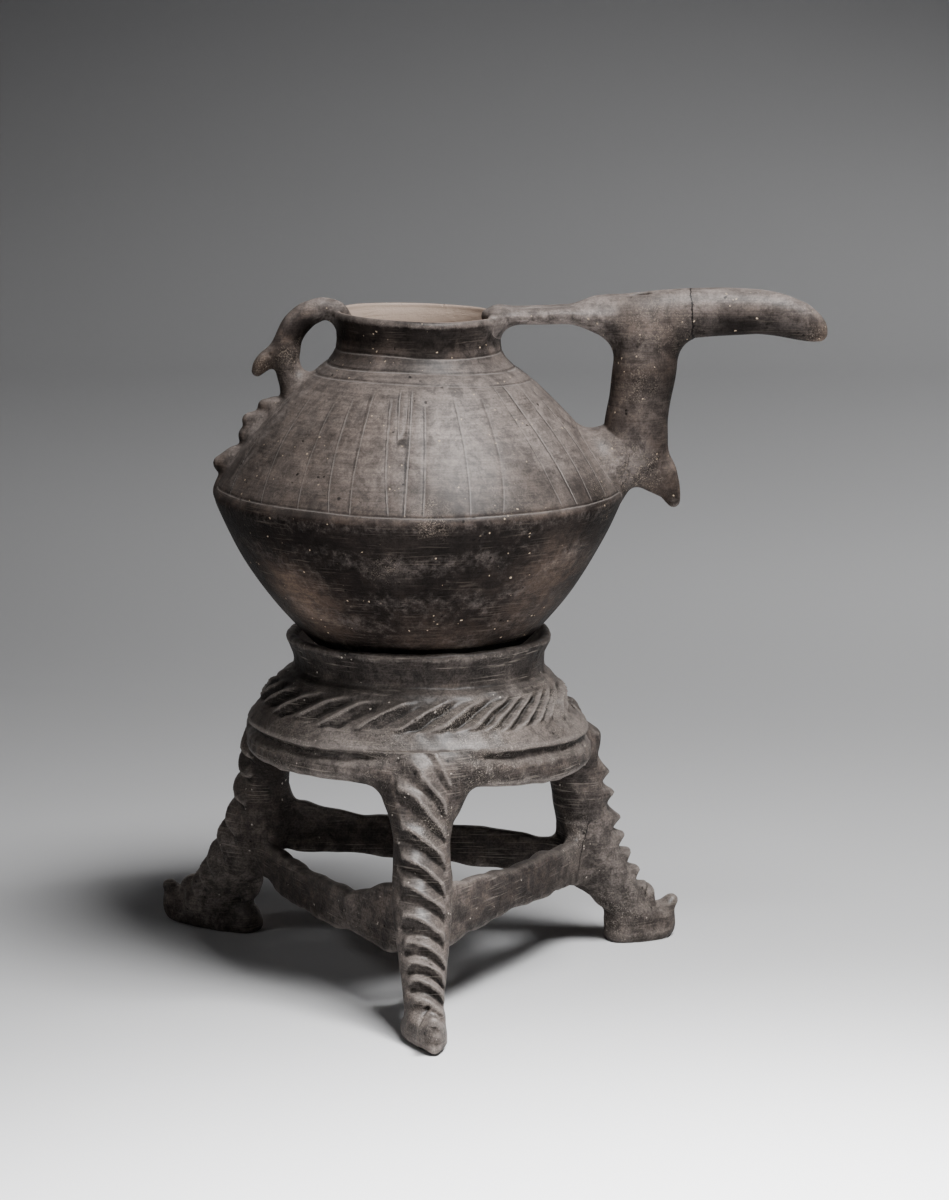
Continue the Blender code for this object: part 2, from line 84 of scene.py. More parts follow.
spoutShape = {
    # middle lines: out from the axis, up from the floor, radius
    "column": [
        (92, 278, 17.0), (104, 284, 17.6), (116.2, 289.0, 18.2), (116.8, 303.7, 16.8), (118.6, 314.6, 16.2),
        (121.0, 330.7, 17.2), (122.5, 345, 16.5)],
    "wattle": [(119, 283, 13.5), (127, 276.6, 11.6), (134.2, 267.8, 6.4), (136.6, 262.2, 4.4), (137.2, 260.4, 3.6)],
    "beak": [
        (88, 363.0, 5.6), (94, 361.9, 8.8), (101, 360.2, 11.2), (110, 359.3, 13.2), (120, 360.1, 14.2),
        (129, 361.2, 14.0), (145, 361.7, 13.5), (161, 362.1, 13.0), (182, 362.2, 12.0), (193, 360.6, 11.6),
        (203.5, 357.3, 10.4), (210.8, 353.7, 7.9), (213.9, 350.8, 4.7)],
    "bridge": [
        (37, 359.6, 3.2), (43, 360.3, 4.7), (52, 360.7, 5.3), (67.6, 360.9, 5.5), (80, 361.2, 5.5), (92, 360.6, 5.0),
        (100, 359.5, 4.4)],
    # hollows: the dished top of the bridge, the open trough of the beak, the hole up the column
    "dish": [(33, 368.4, 4.4), (50, 369.0, 5.0), (70, 369.4, 5.2), (82, 370.6, 4.6), (90, 373.6, 3.4)],
    "trough": [
        (104, 375.0, 2.8), (110, 374.6, 5.2), (122, 375.6, 6.2), (134, 377.2, 5.6), (142, 378.3, 4.5),
        (160, 378.6, 4.2), (190, 376.2, 3.8), (205, 371.0, 2.6)],
    "hole": [(118, 302, 8.0), (120, 338, 8.0), (121, 370, 6.6)],
    "box": ((30, -30, 250), (226, 30, 384)),  # lower and upper corner of the grid it is worked out on
    "beakWide": 0.86,  # width over height
    "bridgeWide": 2.35,
    "troughWide": 1.05,
    "pitch": 0.72,  # step of that grid
    "rootBlend": 11.0,  # how softly they run into the body
}

handleShape = {
    # out from the axis, up from the floor, radius
    "neck": [
        (-38, 359.0, 2.8), (-41.5, 361.6, 4.6), (-45.5, 363.4, 5.5), (-51.3, 364.0, 6.1), (-59.9, 360.4, 6.9),
        (-66.3, 354.0, 7.2), (-70.3, 346.0, 7.0), (-71.2, 338.2, 6.9), (-69.4, 330.7, 6.9), (-65.8, 322.0, 8.0)],
    "head": [
        (-70.4, 342.3, 6.2), (-76.8, 338.8, 5.6), (-81.6, 335.8, 5.0), (-84.6, 332.8, 4.2), (-86.2, 330.3, 3.0)],
    # each knob from its root in the wall to its tip
    "knobs": [
        (-77.5, 311.0, 5.2, -82.0, 311.4, 3.8), (-84.5, 303.0, 6.4, -90.0, 303.6, 4.4),
        (-88.5, 296.5, 6.0, -92.0, 296.0, 4.4), (-98.5, 281.5, 7.6, -106.2, 280.4, 4.2),
        (-101.5, 268.5, 5.8, -103.8, 266.6, 4.2)],
    "eye": [(-79.5, 5.6, 339.4, 1.1), (-79.0, 6.4, 339.4, 1.2)],
    "box": ((-122, -18, 252), (-30, 18, 376)),
    "wide": 0.92,  # width over height
    "pitch": 0.58,
    "blend": 4.0,
    "rootBlend": 7.5,
}

ringShape = {
    "height": 189.5,  # floor to the crest of the lip
    "radius": 93.0,  # edge under the flutes
    "thick": 7.2,
    # where the crests of the flutes stand half way up, degrees from the front; behind the last
    # one the rest are even
    "crests": [-56, -41.5, -29, -13.4, 0, 14.5, 27, 34, 40.5, 49, 57, 65],
    "crestsBehind": 17,
    "fluteSlant": 19,  # degrees round the axis from the foot of a flute to its top
    "fluteDepth": 4.8,
    "fluteEnds": ((76.0, 163.0), (88.0, 147.5)),  # out and up of their tops and their feet
    "drawnIn": 6.5,  # how far the foot of the flutes is drawn in on the right
    "sag": 3.2,  # how far the lower edge hangs down at the front right
    "lumpy": 0.22,  # millimetres of small lumps
    "leanSide": 1.4,  # degrees, down toward the spout
    "leanBack": 2.2,  # degrees, down toward the back
    "columns": 640,
    "rows": 1.0,
}
# outer side of the ring, lower edge to lip, in shares of its radius and the stand's height
ringWall = [
    (0.975, 0.638), (1.004, 0.648), (1.010, 0.668), (1.000, 0.690), (0.966, 0.704), (0.958, 0.714),
    (0.974, 0.722), (1.003, 0.727), (1.007, 0.737), (0.984, 0.750), (0.956, 0.768), (0.905, 0.804),
    (0.842, 0.846), (0.783, 0.880), (0.737, 0.894),
    (0.728, 0.915), (0.734, 0.942), (0.757, 0.967), (0.776, 0.984), (0.768, 0.996), (0.752, 0.999),
]

# three values in a list are those of the front, the right and the left leg
legShape = {
    "thick": 30.0,
    "ankle": [0.86, 1.0, 1.0],  # share of its thickness kept at the ankle
    "top": [1.0, 1.0, 0.88],  # and at its top
    # crests of the ridges down the leg, from its top
    "ridges": [
        [-5, 12, 25, 41, 57, 71, 88, 103, 113, 122.5, 132],
        [-5, 8, 28, 46.2, 58.7, 74, 87, 100.2, 112.8, 123.8, 134.5],
        [-5, 8, 21.4, 35, 49.3, 68.6, 84.8, 104.2, 117.8, 128.5, 141]],
    "ridgeSlant": [1.0, 0.55, 0.40],  # how steeply they run across, of the front leg's
    "ridgeDepth": [4.8, 5.6, 5.6],
    "ridgeRise": 0.36,  # share of that depth which is sunk into the leg
    "ridgeHalf": [11.5, 13.5, 17.0],  # half the width of the ridged strip
    # down the leg: the ridges' slant, the strip's width and how far its middle lies aside
    "ridgeRun": {
        "slant": ((-5, 1.05), (30, 0.86), (60, 0.74), (90, 0.60), (113, 0.35), (132, 0.35)),
        "width": ((-6, 1.45), (16, 1.2), (32, 1.0), (90, 0.95), (132, 0.70)),
        "middle": ((-6, 2.5), (30, 0.3), (90, 0.0), (132, 1.6))},
    "heel": [114.0, 117.5, 117.0],  # axis of the stand to the back of each heel
    "toe": [166.6, 159.0, 181.6],  # axis of the stand to the tip of each toe
    "instep": [(140, 12, 4.0), (140.5, 25.0, 6.4), (160.5, 21.0, 7.0)],  # lump: out, up, radius
    "calf": [3.0, 3.0, 4.0],  # radius of the clay behind each ankle
    "turn": [1.5, 119.0, -121.5],  # each leg's direction, degrees from the front
    "swing": [1.0, -3.0, -3.5],  # how far each foot is turned from its leg
    "aside": [-2.4, 0.0, -3.5],  # how far each foot is moved sideways
    "ankleAside": [-1.6, 0.0, 0.0],  # and each ankle
    "out": [0.0, 1.4, 2.0],  # how far each leg is moved out
    "fuller": [0.0, 1.4, 0.6],  # added to its half thickness
    "back": [0.0, 8.0, 2.0],  # how far each leg's top is moved in
    "sunk": [0.0, 9.0, 0.0],  # and how far its web is moved down
    "tip": [0.0, 2.4, 0.0],  # how far each toe's upturned end leans out
    "notch": [0.0, 2.6, 5.0],  # radius of the hollow above each heel
    "square": [False, True, True],  # feet with flat sides
    "pointed": [0.58, 1.0, 1.0],  # width kept at the tip of each foot
    "tipAside": [4.6, 0.0, 0.0],  # how far each tip is moved sideways
    # grooves cut on the front toe: right of the axis, up, radius
    "toeCuts": [
        [(1.4, 13.0, 0.9), (3.4, 16.8, 1.2), (5.7, 19.6, 1.2)],
        [(5.7, 19.6, 1.2), (8.8, 16.2, 1.2), (11.4, 10.5, 0.9)]],
    "footWidth": 22.0,
    "strapThick": 9.0,
    # heights of each strap where it leaves one leg, in the middle and where it meets the next
    "straps": [(34, 23.5, 24), (20, 22.5, 27), (22, 23, 38)],
    "strapLevels": [(53.8, 54.7, 48.0), (47.5, 56.5, 69.0), (52.5, 45.3, 57.5)],
    "box": ((-160, -172, -4), (156, 118, 142)),
    "blend": 7.0,
    "rootBlend": 8.0,
    "pitch": 0.9,
    "keep": 0.55,  # share of the faces kept where the clay is smooth
}
# middle line of a leg: out over the ring's radius, up over the stand's height, thickness share
legLine = [
    (0.885, 0.715, 0.60), (0.965, 0.680, 0.86), (1.030, 0.590, 0.93), (1.060, 0.500, 0.93),
    (1.098, 0.415, 0.96), (1.145, 0.325, 1.00), (1.215, 0.248, 0.97), (1.325, 0.170, 0.86),
    (1.420, 0.105, 0.74), (1.480, 0.062, 0.54),
]


def travelOf(line):
    # how far along a line each of its places lies
    return np.concatenate([[0], np.cumsum(np.linalg.norm(np.diff(line, axis=0), axis=1))])


def softLine(points, step, blur):
    # a polyline walked in even steps; each place is the bell-weighted mean of its neighbours
    points = np.asarray(points, float)
    reach = travelOf(points[:, :2])
    along = np.linspace(0, reach[-1], int(reach[-1] / step) + 2)
    line = np.stack([np.interp(along, reach, column) for column in points.T], axis=1)
    side = min(int(3 * blur / step), len(line) - 1)
    if side < 1:
        return line
    bell = np.exp(-0.5 * (np.arange(-side, side + 1) * step / blur) ** 2)
    head = 2 * line[0] - line[side:0:-1]
    tail = 2 * line[-1] - line[-2:-side - 2:-1]
    full = np.concatenate([head, line, tail])
    return np.stack([np.convolve(column, bell / bell.sum(), "valid") for column in full.T], axis=1)


def sideways(line):
    # the direction at right angles to a flat line at each of its places, to its right
    along = np.gradient(line[:, :2], axis=0)
    along /= np.linalg.norm(along, axis=1)[:, None] + 1e-9
    return np.stack([along[:, 1], -along[:, 0]], axis=1)


def smooth(low, high, value):
    # 0 below low, 1 above high, 3t^2 - 2t^3 between
    share = np.clip((value - low) / (high - low), 0, 1)
    return share * share * (3 - 2 * share)


def waves(places, size, seed, count):
    # unevenness between about -1 and 1: a sum of sines along random directions of the given size
    draw = np.random.default_rng(seed)
    total = np.zeros(places.shape[:-1])
    for i in range(count):
        way = draw.normal(size=3)
        way /= np.linalg.norm(way)
        total += np.sin(places @ way * 2 * math.pi / (size * draw.uniform(0.6, 1.6)) + draw.uniform(0, 7))
    return total / math.sqrt(count)


def saw(part, fall, power, blunt):
    # a ridge worked with a tool: 1 at the crest, down to 0 over the first share of the period and
    # back up over the rest, both as t to a power; its corners are rounded by a bell
    spots = np.arange(512) / 512
    wave = np.where(spots < fall, 1 - spots / fall, (spots - fall) / (1 - fall))
    wave = np.abs(wave) ** power
    tones = np.fft.rfft(wave) * np.exp(-2 * (math.pi * blunt * np.arange(257)) ** 2)
    wave = np.fft.irfft(tones)
    return np.interp(part - np.floor(part), np.append(spots, 1), np.append(wave, wave[0]))


def makeMesh(name, places, faces, masks):
    # a smooth mesh object from millimetre places round the turning axis
    mesh = bpy.data.meshes.new(name)
    mesh.from_pydata(places * 0.001 + axisPlace, [], faces)
    for key, values in masks.items():
        layer = mesh.attributes.new(key, "FLOAT", "POINT")
        layer.data.foreach_set("value", np.asarray(values, np.float32).ravel())
    mesh.polygons.foreach_set("use_smooth", np.ones(len(mesh.polygons), bool))
    mesh.update()
    piece = bpy.data.objects.new(name, mesh)
    bpy.context.scene.collection.objects.link(piece)
    return piece


def normalsOf(places, quads):
    # unit normals at the vertices, each the sum of the cross products of its faces' diagonals
    corners = places[quads]
    cross = np.cross(corners[:, 2] - corners[:, 0], corners[:, 3] - corners[:, 1])
    total = np.stack([np.bincount(quads.ravel(), np.repeat(part, 4), len(places)) for part in cross.T], axis=1)
    return total / (np.linalg.norm(total, axis=1)[:, None] + 1e-12)


def reliefOf(places, quads, rounds):
    # two measures of the relief: how far a vertex stands out of (+) or lies in (-) the mean of
    # its neighbours, averaged over ten rounds, and how much more its normal faces up than that
    # of the surface averaged over all the rounds
    normals = normalsOf(places, quads)
    starts = quads.ravel()
    ends = np.roll(quads, -1, axis=1).ravel()
    number = np.bincount(starts, minlength=len(places)) + np.bincount(ends, minlength=len(places))
    number = np.maximum(number, 1)

    def meanOf(values):
        both = np.bincount(starts, values[ends], len(places)) + np.bincount(ends, values[starts], len(places))
        return both / number

    soft = places
    for i in range(rounds):
        soft = np.stack([0.5 * column + 0.5 * meanOf(column) for column in soft.T], axis=1)
        if i == 9:
            edge = ((places - soft) * normals).sum(axis=1)
    return edge, normals[:, 2] - normalsOf(soft, quads)[:, 2]


def gridFaces(rows, columns, closedRows=False):
    # quads of a grid that runs round in its columns, and in its rows too if these are closed
    row = np.arange(rows if closedRows else rows - 1)[:, None] * columns
    upper = (row + columns) % (rows * columns)
    column = np.arange(columns)[None, :]
    right = (column + 1) % columns
    return np.stack([row + column, row + right, upper + right, upper + column], axis=-1).reshape(-1, 4)


def rowsBy(density, length, share):
    # places along a length so that their number per millimetre follows the density
    spots = np.linspace(0, length, 6000)
    total = np.concatenate([[0], np.cumsum((density(spots[1:]) + density(spots[:-1])) / 2 * np.diff(spots))])
    count = max(int(total[-1] * share), 8)
    return np.interp(np.linspace(0, total[-1], count), total, spots)


def neckDrop(x, y, z):
    # how far the spout's side of the neck hangs: tan(lean) x, eased in above the shoulder
    start = jarBody["base"] + jarBody["leanFrom"] * jarBody["height"]
    share = np.clip((z - start) / ((1 - jarBody["leanFrom"]) * jarBody["height"]), 0, 1)
    return math.tan(math.radians(jarBody["lean"])) * x * share + 0 * y


def ringDrop(x, y, z):
    # how far the ring and its band are tipped: tan(side) x + tan(back) y, from the legs up to
    # the collar
    up = z / ringShape["height"]
    share = np.clip((up - 0.45) / 0.18, 0, 1) * np.clip((0.93 - up) / 0.08, 0, 1)
    side, back = [math.tan(math.radians(ringShape[key])) for key in ("leanSide", "leanBack")]
    return (side * x + back * y) * share


def handMade(places, lumpy=0.0):
    # the slight unevenness of clay worked by hand, the same for all parts of one piece; the
    # stand is lumpy besides
    wide = np.stack([waves(places, 95, seed, 5) for seed in (3, 4, 5)], axis=-1) * 0.30
    small = np.stack([waves(places, 30, seed, 7) for seed in (6, 7, 8)], axis=-1) * 0.12
    if lumpy:
        small = small + np.stack([waves(places, 12, seed, 9) for seed in (9, 10, 11)], axis=-1) * lumpy
    return places + wide + small


def jarSection():
    # closed outline of the jar's wall, from the middle of the base out, up, over the lip and
    # down to the middle of the floor inside: crisp at the base, the sharp turn and the lip,
    # softer up the neck and softest on the walls between
    step = 0.25
    base, tall, thick = jarBody["base"], jarBody["height"], jarBody["wall"]
    corners = np.array(jarWall) * np.array([jarBody["radius"], tall]) + np.array([0, base])
    crisp, soft, softest = [softLine(corners, step, blur) for blur in jarBody["softness"]]
    up = crisp[:, 1]
    neck = smooth(base + 0.77 * tall, base + 0.84 * tall, up)[:, None]
    near = np.maximum.reduce([
        smooth(20, 6, np.abs(up - base - 0.495 * tall)), smooth(base + 0.10 * tall, base + 0.03 * tall, up),
        smooth(base + 0.955 * tall, base + 0.985 * tall, up)])[:, None]
    outer = (softest * (1 - neck) + soft * neck) * (1 - near) + crisp * near
    top, floor = outer[-1, 1], base + thick * 1.15
    wall = jarBody["lipWall"] + (thick - jarBody["lipWall"]) * smooth(0, 26, top - outer[:, 1])
    inner = outer - sideways(outer) * wall[:, None]
    inner = inner[(inner[:, 1] > floor) & (inner[:, 0] > 20)][::-1]
    lip = [(outer[-1, 0] - 1.2, top + 0.5), (inner[0, 0] + 0.3, top - 0.2)]
    return softLine(np.concatenate([outer, lip, inner[2:], [(0.0, floor)]]), step, 0.6)


def distanceTable(section, low, high):
    # signed distance to a closed outline in the half plane of out and up, on a square grid
    step = 0.5
    out = np.arange(low[0], high[0] + step, step)
    up = np.arange(low[1], high[1] + step, step)
    spotOut, spotUp = np.meshgrid(out, up, indexing="ij")
    nearest = np.full(spotOut.shape, 1e9)
    inside = np.zeros(spotOut.shape, bool)
    thin = section[::4]
    thin = np.concatenate([thin, section[-1:], thin[:1]])
    for (outA, upA), (outB, upB) in zip(thin, thin[1:]):
        wide, tall = outB - outA, upB - upA
        if not (outA < 0.01 and outB < 0.01):
            share = ((spotOut - outA) * wide + (spotUp - upA) * tall) / max(wide * wide + tall * tall, 1e-9)
            share = np.clip(share, 0, 1)
            away = (spotOut - outA - share * wide) ** 2 + (spotUp - upA - share * tall) ** 2
            nearest = np.minimum(nearest, away)
        if upA != upB:
            crosses = ((upA > spotUp) != (upB > spotUp)) & (spotOut < outA + wide * (spotUp - upA) / tall)
            inside ^= crosses
    return {"low": low, "step": step, "values": np.where(inside, -1, 1) * np.sqrt(nearest)}


def lookUp(table, out, up):
    # bilinear reading of a distance table
    values = table["values"]
    a = np.clip((out - table["low"][0]) / table["step"], 0, values.shape[0] - 1.001)
    b = np.clip((up - table["low"][1]) / table["step"], 0, values.shape[1] - 1.001)
    i, j = a.astype(int), b.astype(int)
    a, b = a - i, b - j
    return (values[i, j] * (1 - a) * (1 - b) + values[i + 1, j] * a * (1 - b)
            + values[i, j + 1] * (1 - a) * b + values[i + 1, j + 1] * a * b)


def emptyField(shape):
    # the grid places of a shape's box, each as far from clay as empty, in millimetres
    pitch, empty = shape["pitch"], 60
    axes = [np.arange(low, high + pitch, pitch, dtype=np.float32) for low, high in zip(*shape["box"])]
    far = np.full([len(axis) for axis in axes], empty, np.float32)
    return {"axes": axes, "pitch": pitch, "empty": empty, "far": far}


def softLeast(a, b, blend):
    # the lesser of two distances, rounded where they differ by less than the blend
    mix = np.maximum(blend - np.abs(a - b), 0) / blend
    return np.minimum(a, b) - mix * mix * blend / 4


def addLimb(field, line, wide=(0, 1, 0), share=1.0, blend=4.0, carve=None, cut=False, boxy=False):
    # distance to a limb: the least over its middle line's places c of |p - c| - r(c), the part
    # of p - c along the wide direction divided by the share, less what carve raises there;
    # a boxy limb takes the fourth root of fourth powers for |p - c| and so has flat sides;
    # joined to the field by a soft minimum, or cut out of it. The share may change along the line
    pitch, axes, far = field["pitch"], field["axes"], field["far"]
    line = np.asarray(line, np.float32)
    wide = np.broadcast_to(np.asarray(wide, np.float32), (len(line), 3))
    shares = np.broadcast_to(np.asarray(share, np.float32), (len(line),)).tolist()
    tangent = np.gradient(line[:, :3], axis=0)
    tangent /= np.linalg.norm(tangent, axis=1)[:, None]
    relief = 4 if carve else 0  # room for what carve raises
    reach = line[:, 3].max() * max(max(shares), 1) + blend + 3 * pitch + relief
    lows = [max(int((line[:, i].min() - reach - axes[i][0]) / pitch), 0) for i in range(3)]
    highs = [min(int((line[:, i].max() + reach - axes[i][0]) / pitch) + 2, len(axes[i])) for i in range(3)]
    window = tuple(slice(a, b) for a, b in zip(lows, highs))
    near = np.full([b - a for a, b in zip(lows, highs)], field["empty"], np.float32)
    run, across, outward = [np.zeros(near.shape if carve else 1, np.float32) for i in range(3)]
    for spot, side, ahead, gone, stretch in zip(line, wide, tangent, travelOf(line[:, :3]), shares):
        size = spot[3] * max(stretch, 1) + blend + 2 * pitch + relief
        part, steps = [], []
        for i in range(3):
            first = max(int((spot[i] - size - axes[i][0]) / pitch), lows[i])
            last = min(int((spot[i] + size - axes[i][0]) / pitch) + 2, highs[i])
            part.append(slice(first - lows[i], last - lows[i]))
            steps.append((axes[i][first:last] - spot[i]).reshape([-1 if i == j else 1 for j in range(3)]))
        part = tuple(part)

        def toward(way):
            return steps[0] * way[0] + steps[1] * way[1] + steps[2] * way[2]

        sideStep = toward(side)
        square = steps[0] ** 2 + steps[1] ** 2 + steps[2] ** 2
        if boxy:
            rest = np.maximum(square - sideStep ** 2, 0)
            distance = np.sqrt(np.sqrt(rest ** 2 + (sideStep / stretch) ** 4)) - spot[3]
        else:
            if stretch != 1.0:
                square = square + sideStep ** 2 * (1 / stretch ** 2 - 1)
            distance = np.sqrt(np.maximum(square, 0)) - spot[3]
        if carve:
            closer = distance < near[part]
            run[part] = np.where(closer, gone + toward(ahead), run[part])
            across[part] = np.where(closer, sideStep, across[part])
            outward[part] = np.where(closer, toward(np.cross(ahead, side)), outward[part])
        near[part] = np.minimum(near[part], distance)
    if carve:
        near -= carve(run, across, outward)
    if cut:
        far[window] = -softLeast(-far[window], near, blend)
    else:
        far[window] = softLeast(far[window], near, blend)


def fieldPlaces(field):
    # the grid places of a field as three arrays that spread over it
    x, y, z = field["axes"]
    return x[:, None, None], y[None, :, None], z[None, None, :]


def readField(values, field, places):
    # trilinear reading of a grid of values at some places
    low = np.array([axis[0] for axis in field["axes"]])
    spots = (places - low) / field["pitch"]
    spots = np.clip(spots, 0, np.array(values.shape) - 1.001)
    first = spots.astype(int)
    share = spots - first
    total = np.zeros(len(places))
    for corner in range(8):
        step = np.array([corner >> 2 & 1, corner >> 1 & 1, corner & 1])
        weight = np.prod(np.where(step, share, 1 - share), axis=1)
        i, j, k = (first + step).T
        total += weight * values[i, j, k]
    return total


def fieldMesh(field, values):
    # the surface where the values are zero, its vertices then moved onto that surface in three
    # rounds, each by value / |slope|^2 along the slope
    grid = vdb.FloatGrid(float(field["empty"]))
    grid.copyFromArray(np.ascontiguousarray(values, np.float32))
    places, _, quads = grid.convertToPolygons(isovalue=0.0, adaptivity=0.0)
    pitch = field["pitch"]
    places = places.astype(float) * pitch + np.array([axis[0] for axis in field["axes"]])
    step = pitch * 0.5
    for i in range(3):
        slope = np.stack([
            readField(values, field, places + way * step) - readField(values, field, places - way * step)
            for way in np.eye(3)], axis=1) / (2 * step)
        move = readField(values, field, places) / np.maximum((slope ** 2).sum(axis=1), 0.2)
        places -= np.clip(move, -0.5 * pitch, 0.5 * pitch)[:, None] * slope
    return places, quads.astype(int)


def report(name, places, faces):
    # the line printed after each piece
    print("%s: %d vertices, %d faces, %.0f s" % (name, len(places), len(faces), time.time() - started))


def clayMesh(name, places, quads, marks, rounds):
    # a finished piece with its masks
    report(name, places, quads)
    return makeMesh(name, places, quads.tolist(), clayMarks(places, quads, marks, rounds))


def turnedWall(section, along, turn, raised):
    # place(s, a) = section(s) turned by a, raised by so much along its normal
    both = np.concatenate([section, sideways(section)], axis=1)
    out, up, faceOut, faceUp = [np.interp(along, travelOf(section), column)[:, None] for column in both.T]
    radius = out + raised * faceOut
    return np.stack([radius * np.sin(turn), -radius * np.cos(turn), up + raised * faceUp], axis=-1)


def buildJarBody():
    # the section turned round the axis, less the scratched lines
    section = jarSection()
    reach = travelOf(section)
    lip, turnPlace = [reach[np.argmax(column)] for column in (section[:, 1], section[:, 0])]

    def density(s):
        # rows per millimetre: more at the sharp turn, at the lip and up the neck
        rows = np.where(s < lip, 0.30, 0.06)
        rows += 1.5 * np.exp(-((s - turnPlace - 2.5) / 5.5) ** 2)
        rows += 2.0 * np.exp(-((s - lip) / 4.0) ** 2)
        rows += 1.0 * smooth(lip - 46, lip - 41, s) * smooth(lip - 14, lip - 20, s)
        return rows

    along = rowsBy(density, reach[-1], jarBody["rows"])
    columns = jarBody["columns"]
    turn = np.arange(columns) * 2 * math.pi / columns
    outside = smooth(lip + 1, lip - 1, along)
    depth, marks = jarCuts(np.interp(along, reach, section[:, 1]), turn, outside)
    places = turnedWall(section, along, turn, -depth)
    places[[0, -1], :, :2] = 0
    body = np.concatenate([places[1:-1].reshape(-1, 3), places[0].mean(axis=0)[None], places[-1].mean(axis=0)[None]])
    body[:, 2] -= neckDrop(*body.T)
    body = handMade(body)
    quads = gridFaces(len(along) - 2, columns)
    ring = np.arange(columns)
    after = (ring + 1) % columns
    count = (len(along) - 2) * columns
    bottom = np.stack([after, ring, np.full(columns, count)], axis=1)
    top = np.stack([ring + count - columns, after + count - columns, np.full(columns, count + 1)], axis=1)

    def flat(values):
        return np.concatenate([values[1:-1].ravel(), [values[0].mean(), values[-1].mean()]])

    masks = clayMarks(body, quads, jarMarks, 12)
    masks.update({key: flat(values) for key, values in marks.items()})
    masks["inside"] = flat(np.repeat(1 - outside[:, None], columns, axis=1))
    faces = quads.tolist() + bottom.tolist() + top.tolist()
    report("jar_body", body, faces)
    return makeMesh("jar_body", body, faces, masks)


def groove(distance, width):
    # depth 0 to 1 of a scratched line: a bell over its width
    return np.exp(-(distance / (0.5 * width)) ** 2)


def jarCuts(up, turn, outside):
    # depths of the scratched lines in millimetres, and what the clay needs to draw them: the
    # place between two lines as an angle, the step between them, and the distance to each
    # line that runs round
    degrees = np.degrees(turn)[None, :]
    tall = up[:, None]
    radius = np.interp(up, [265, 335, 345], [110.5, 50, 44])[:, None]
    draw = np.random.default_rng(11)
    behind = np.arange(80, 252, 9.2)
    tops = np.concatenate([jarBody["lineTops"], behind + draw.uniform(-2, 2, len(behind))])
    feet = np.concatenate([jarBody["lineFeet"], behind + draw.uniform(-3, 3, len(behind))])
    deep = draw.uniform(0.45, 1.0, len(feet))
    deep[0] = 1.3
    share = np.clip((up - 268) / (324 - 268), 0, 1)[:, None] ** 0.85
    start = feet[0]
    foot = degrees
    for i in range(5):
        foot = degrees - share * np.interp(foot, feet, tops - feet, period=360)
    number = np.interp((foot - start) % 360, np.append(feet - start, 360), np.arange(len(feet) + 1))
    gaps = np.diff(np.append(feet, start + 360))
    first = np.minimum(number.astype(int), len(feet) - 1)
    step = np.radians(gaps[first]) * radius
    away = (number - np.round(number)) * step
    nearest = np.round(number).astype(int) % len(feet)
    ends = draw.uniform(-4, 4, len(feet))
    span = smooth(268.5, 271, tall) * smooth(326 + ends[nearest], 321 + ends[nearest], tall)
    strength = deep[nearest] * span * outside[:, None]
    depth = groove(away, 2.3) * strength * 0.26
    marks = {"lineCos": np.cos(2 * math.pi * number), "lineSin": np.sin(2 * math.pi * number),
             "lineStep": step, "lineDeep": strength}
    for key, (level, width, cut, wander) in jarBody["ringLines"].items():
        place = level + wander * np.sin(np.radians(degrees) + 2.6) + 0.4 * np.sin(np.radians(degrees) * 3 + level)
        distance = (tall - place) / 0.8
        depth = depth + groove(distance, width + 0.5) * cut * outside[:, None]
        marks[key] = np.where(outside[:, None] > 0.5, distance, 50)
    return depth, marks


def wallDistance(field, table, drop):
    # distance to a turned wall at each place of a field, with the lean of the wall undone
    x, y, z = fieldPlaces(field)
    return lookUp(table, np.sqrt(x * x + y * y) + 0 * z, z + drop(x, y, z)).astype(np.float32)


def clayPiece(field, root, rootBlend, skin=1.0, reach=8.0, floor=False):
    # the limbs run softly into the body behind them; of the body only a thin skin under its
    # own surface is kept, near the limbs, so that the two meshes meet without a seam
    limbs = field["far"]
    whole = softLeast(limbs, root + 0.15, rootBlend)
    whole = np.maximum(whole, -root - skin)
    whole = np.maximum(whole, limbs - reach)
    if floor:
        whole = np.maximum(whole, -fieldPlaces(field)[2])
    return fieldMesh(field, whole)


def flatRun(points, step, blur):
    # a soft middle line in the plane y = 0, from places of out, up and radius
    out, up, size = softLine(points, step, blur).T
    return np.stack([out, 0 * out, up, size], axis=1)


def buildSpout(table):
    # each part is a limb swept along its middle line, run into the parts before it
    field = emptyField(spoutShape)
    for key, blur, share, blend, cut in [
            ("column", 3.0, 1.0, 6.0, False), ("wattle", 1.5, 1.0, 5.0, False),
            ("beak", 2.0, spoutShape["beakWide"], 13.0, False), ("bridge", 2.0, spoutShape["bridgeWide"], 7.0, False),
            ("dish", 3.0, 1.9, 2.5, True), ("trough", 3.0, spoutShape["troughWide"], 1.6, True),
            ("hole", 3.0, 0.8, 2.0, True)]:
        addLimb(field, flatRun(spoutShape[key], 0.8, blur), share=share, blend=blend, cut=cut)
    places, quads = clayPiece(field, wallDistance(field, table, neckDrop), spoutShape["rootBlend"])
    return clayMesh("spout", handMade(places), quads, jarMarks, 14)


def buildHandle(table):
    # the animal's neck and head are swept limbs, each knob a short one that tapers to its tip
    field = emptyField(handleShape)
    for key, blur in (("neck", 2.0), ("head", 1.2)):
        addLimb(field, flatRun(handleShape[key], 0.7, blur), share=handleShape["wide"], blend=handleShape["blend"])
    for knob in handleShape["knobs"]:
        addLimb(field, flatRun([knob[:3], knob[3:]], 0.7, 0.5), blend=3.0)
    for side in (-1, 1):
        eye = [(x, side * y, z, size) for x, y, z, size in handleShape["eye"]]
        addLimb(field, eye, blend=1.0, cut=True)
    places, quads = clayPiece(field, wallDistance(field, table, neckDrop), handleShape["rootBlend"])
    return clayMesh("handle", handMade(places), quads, jarMarks, 14)


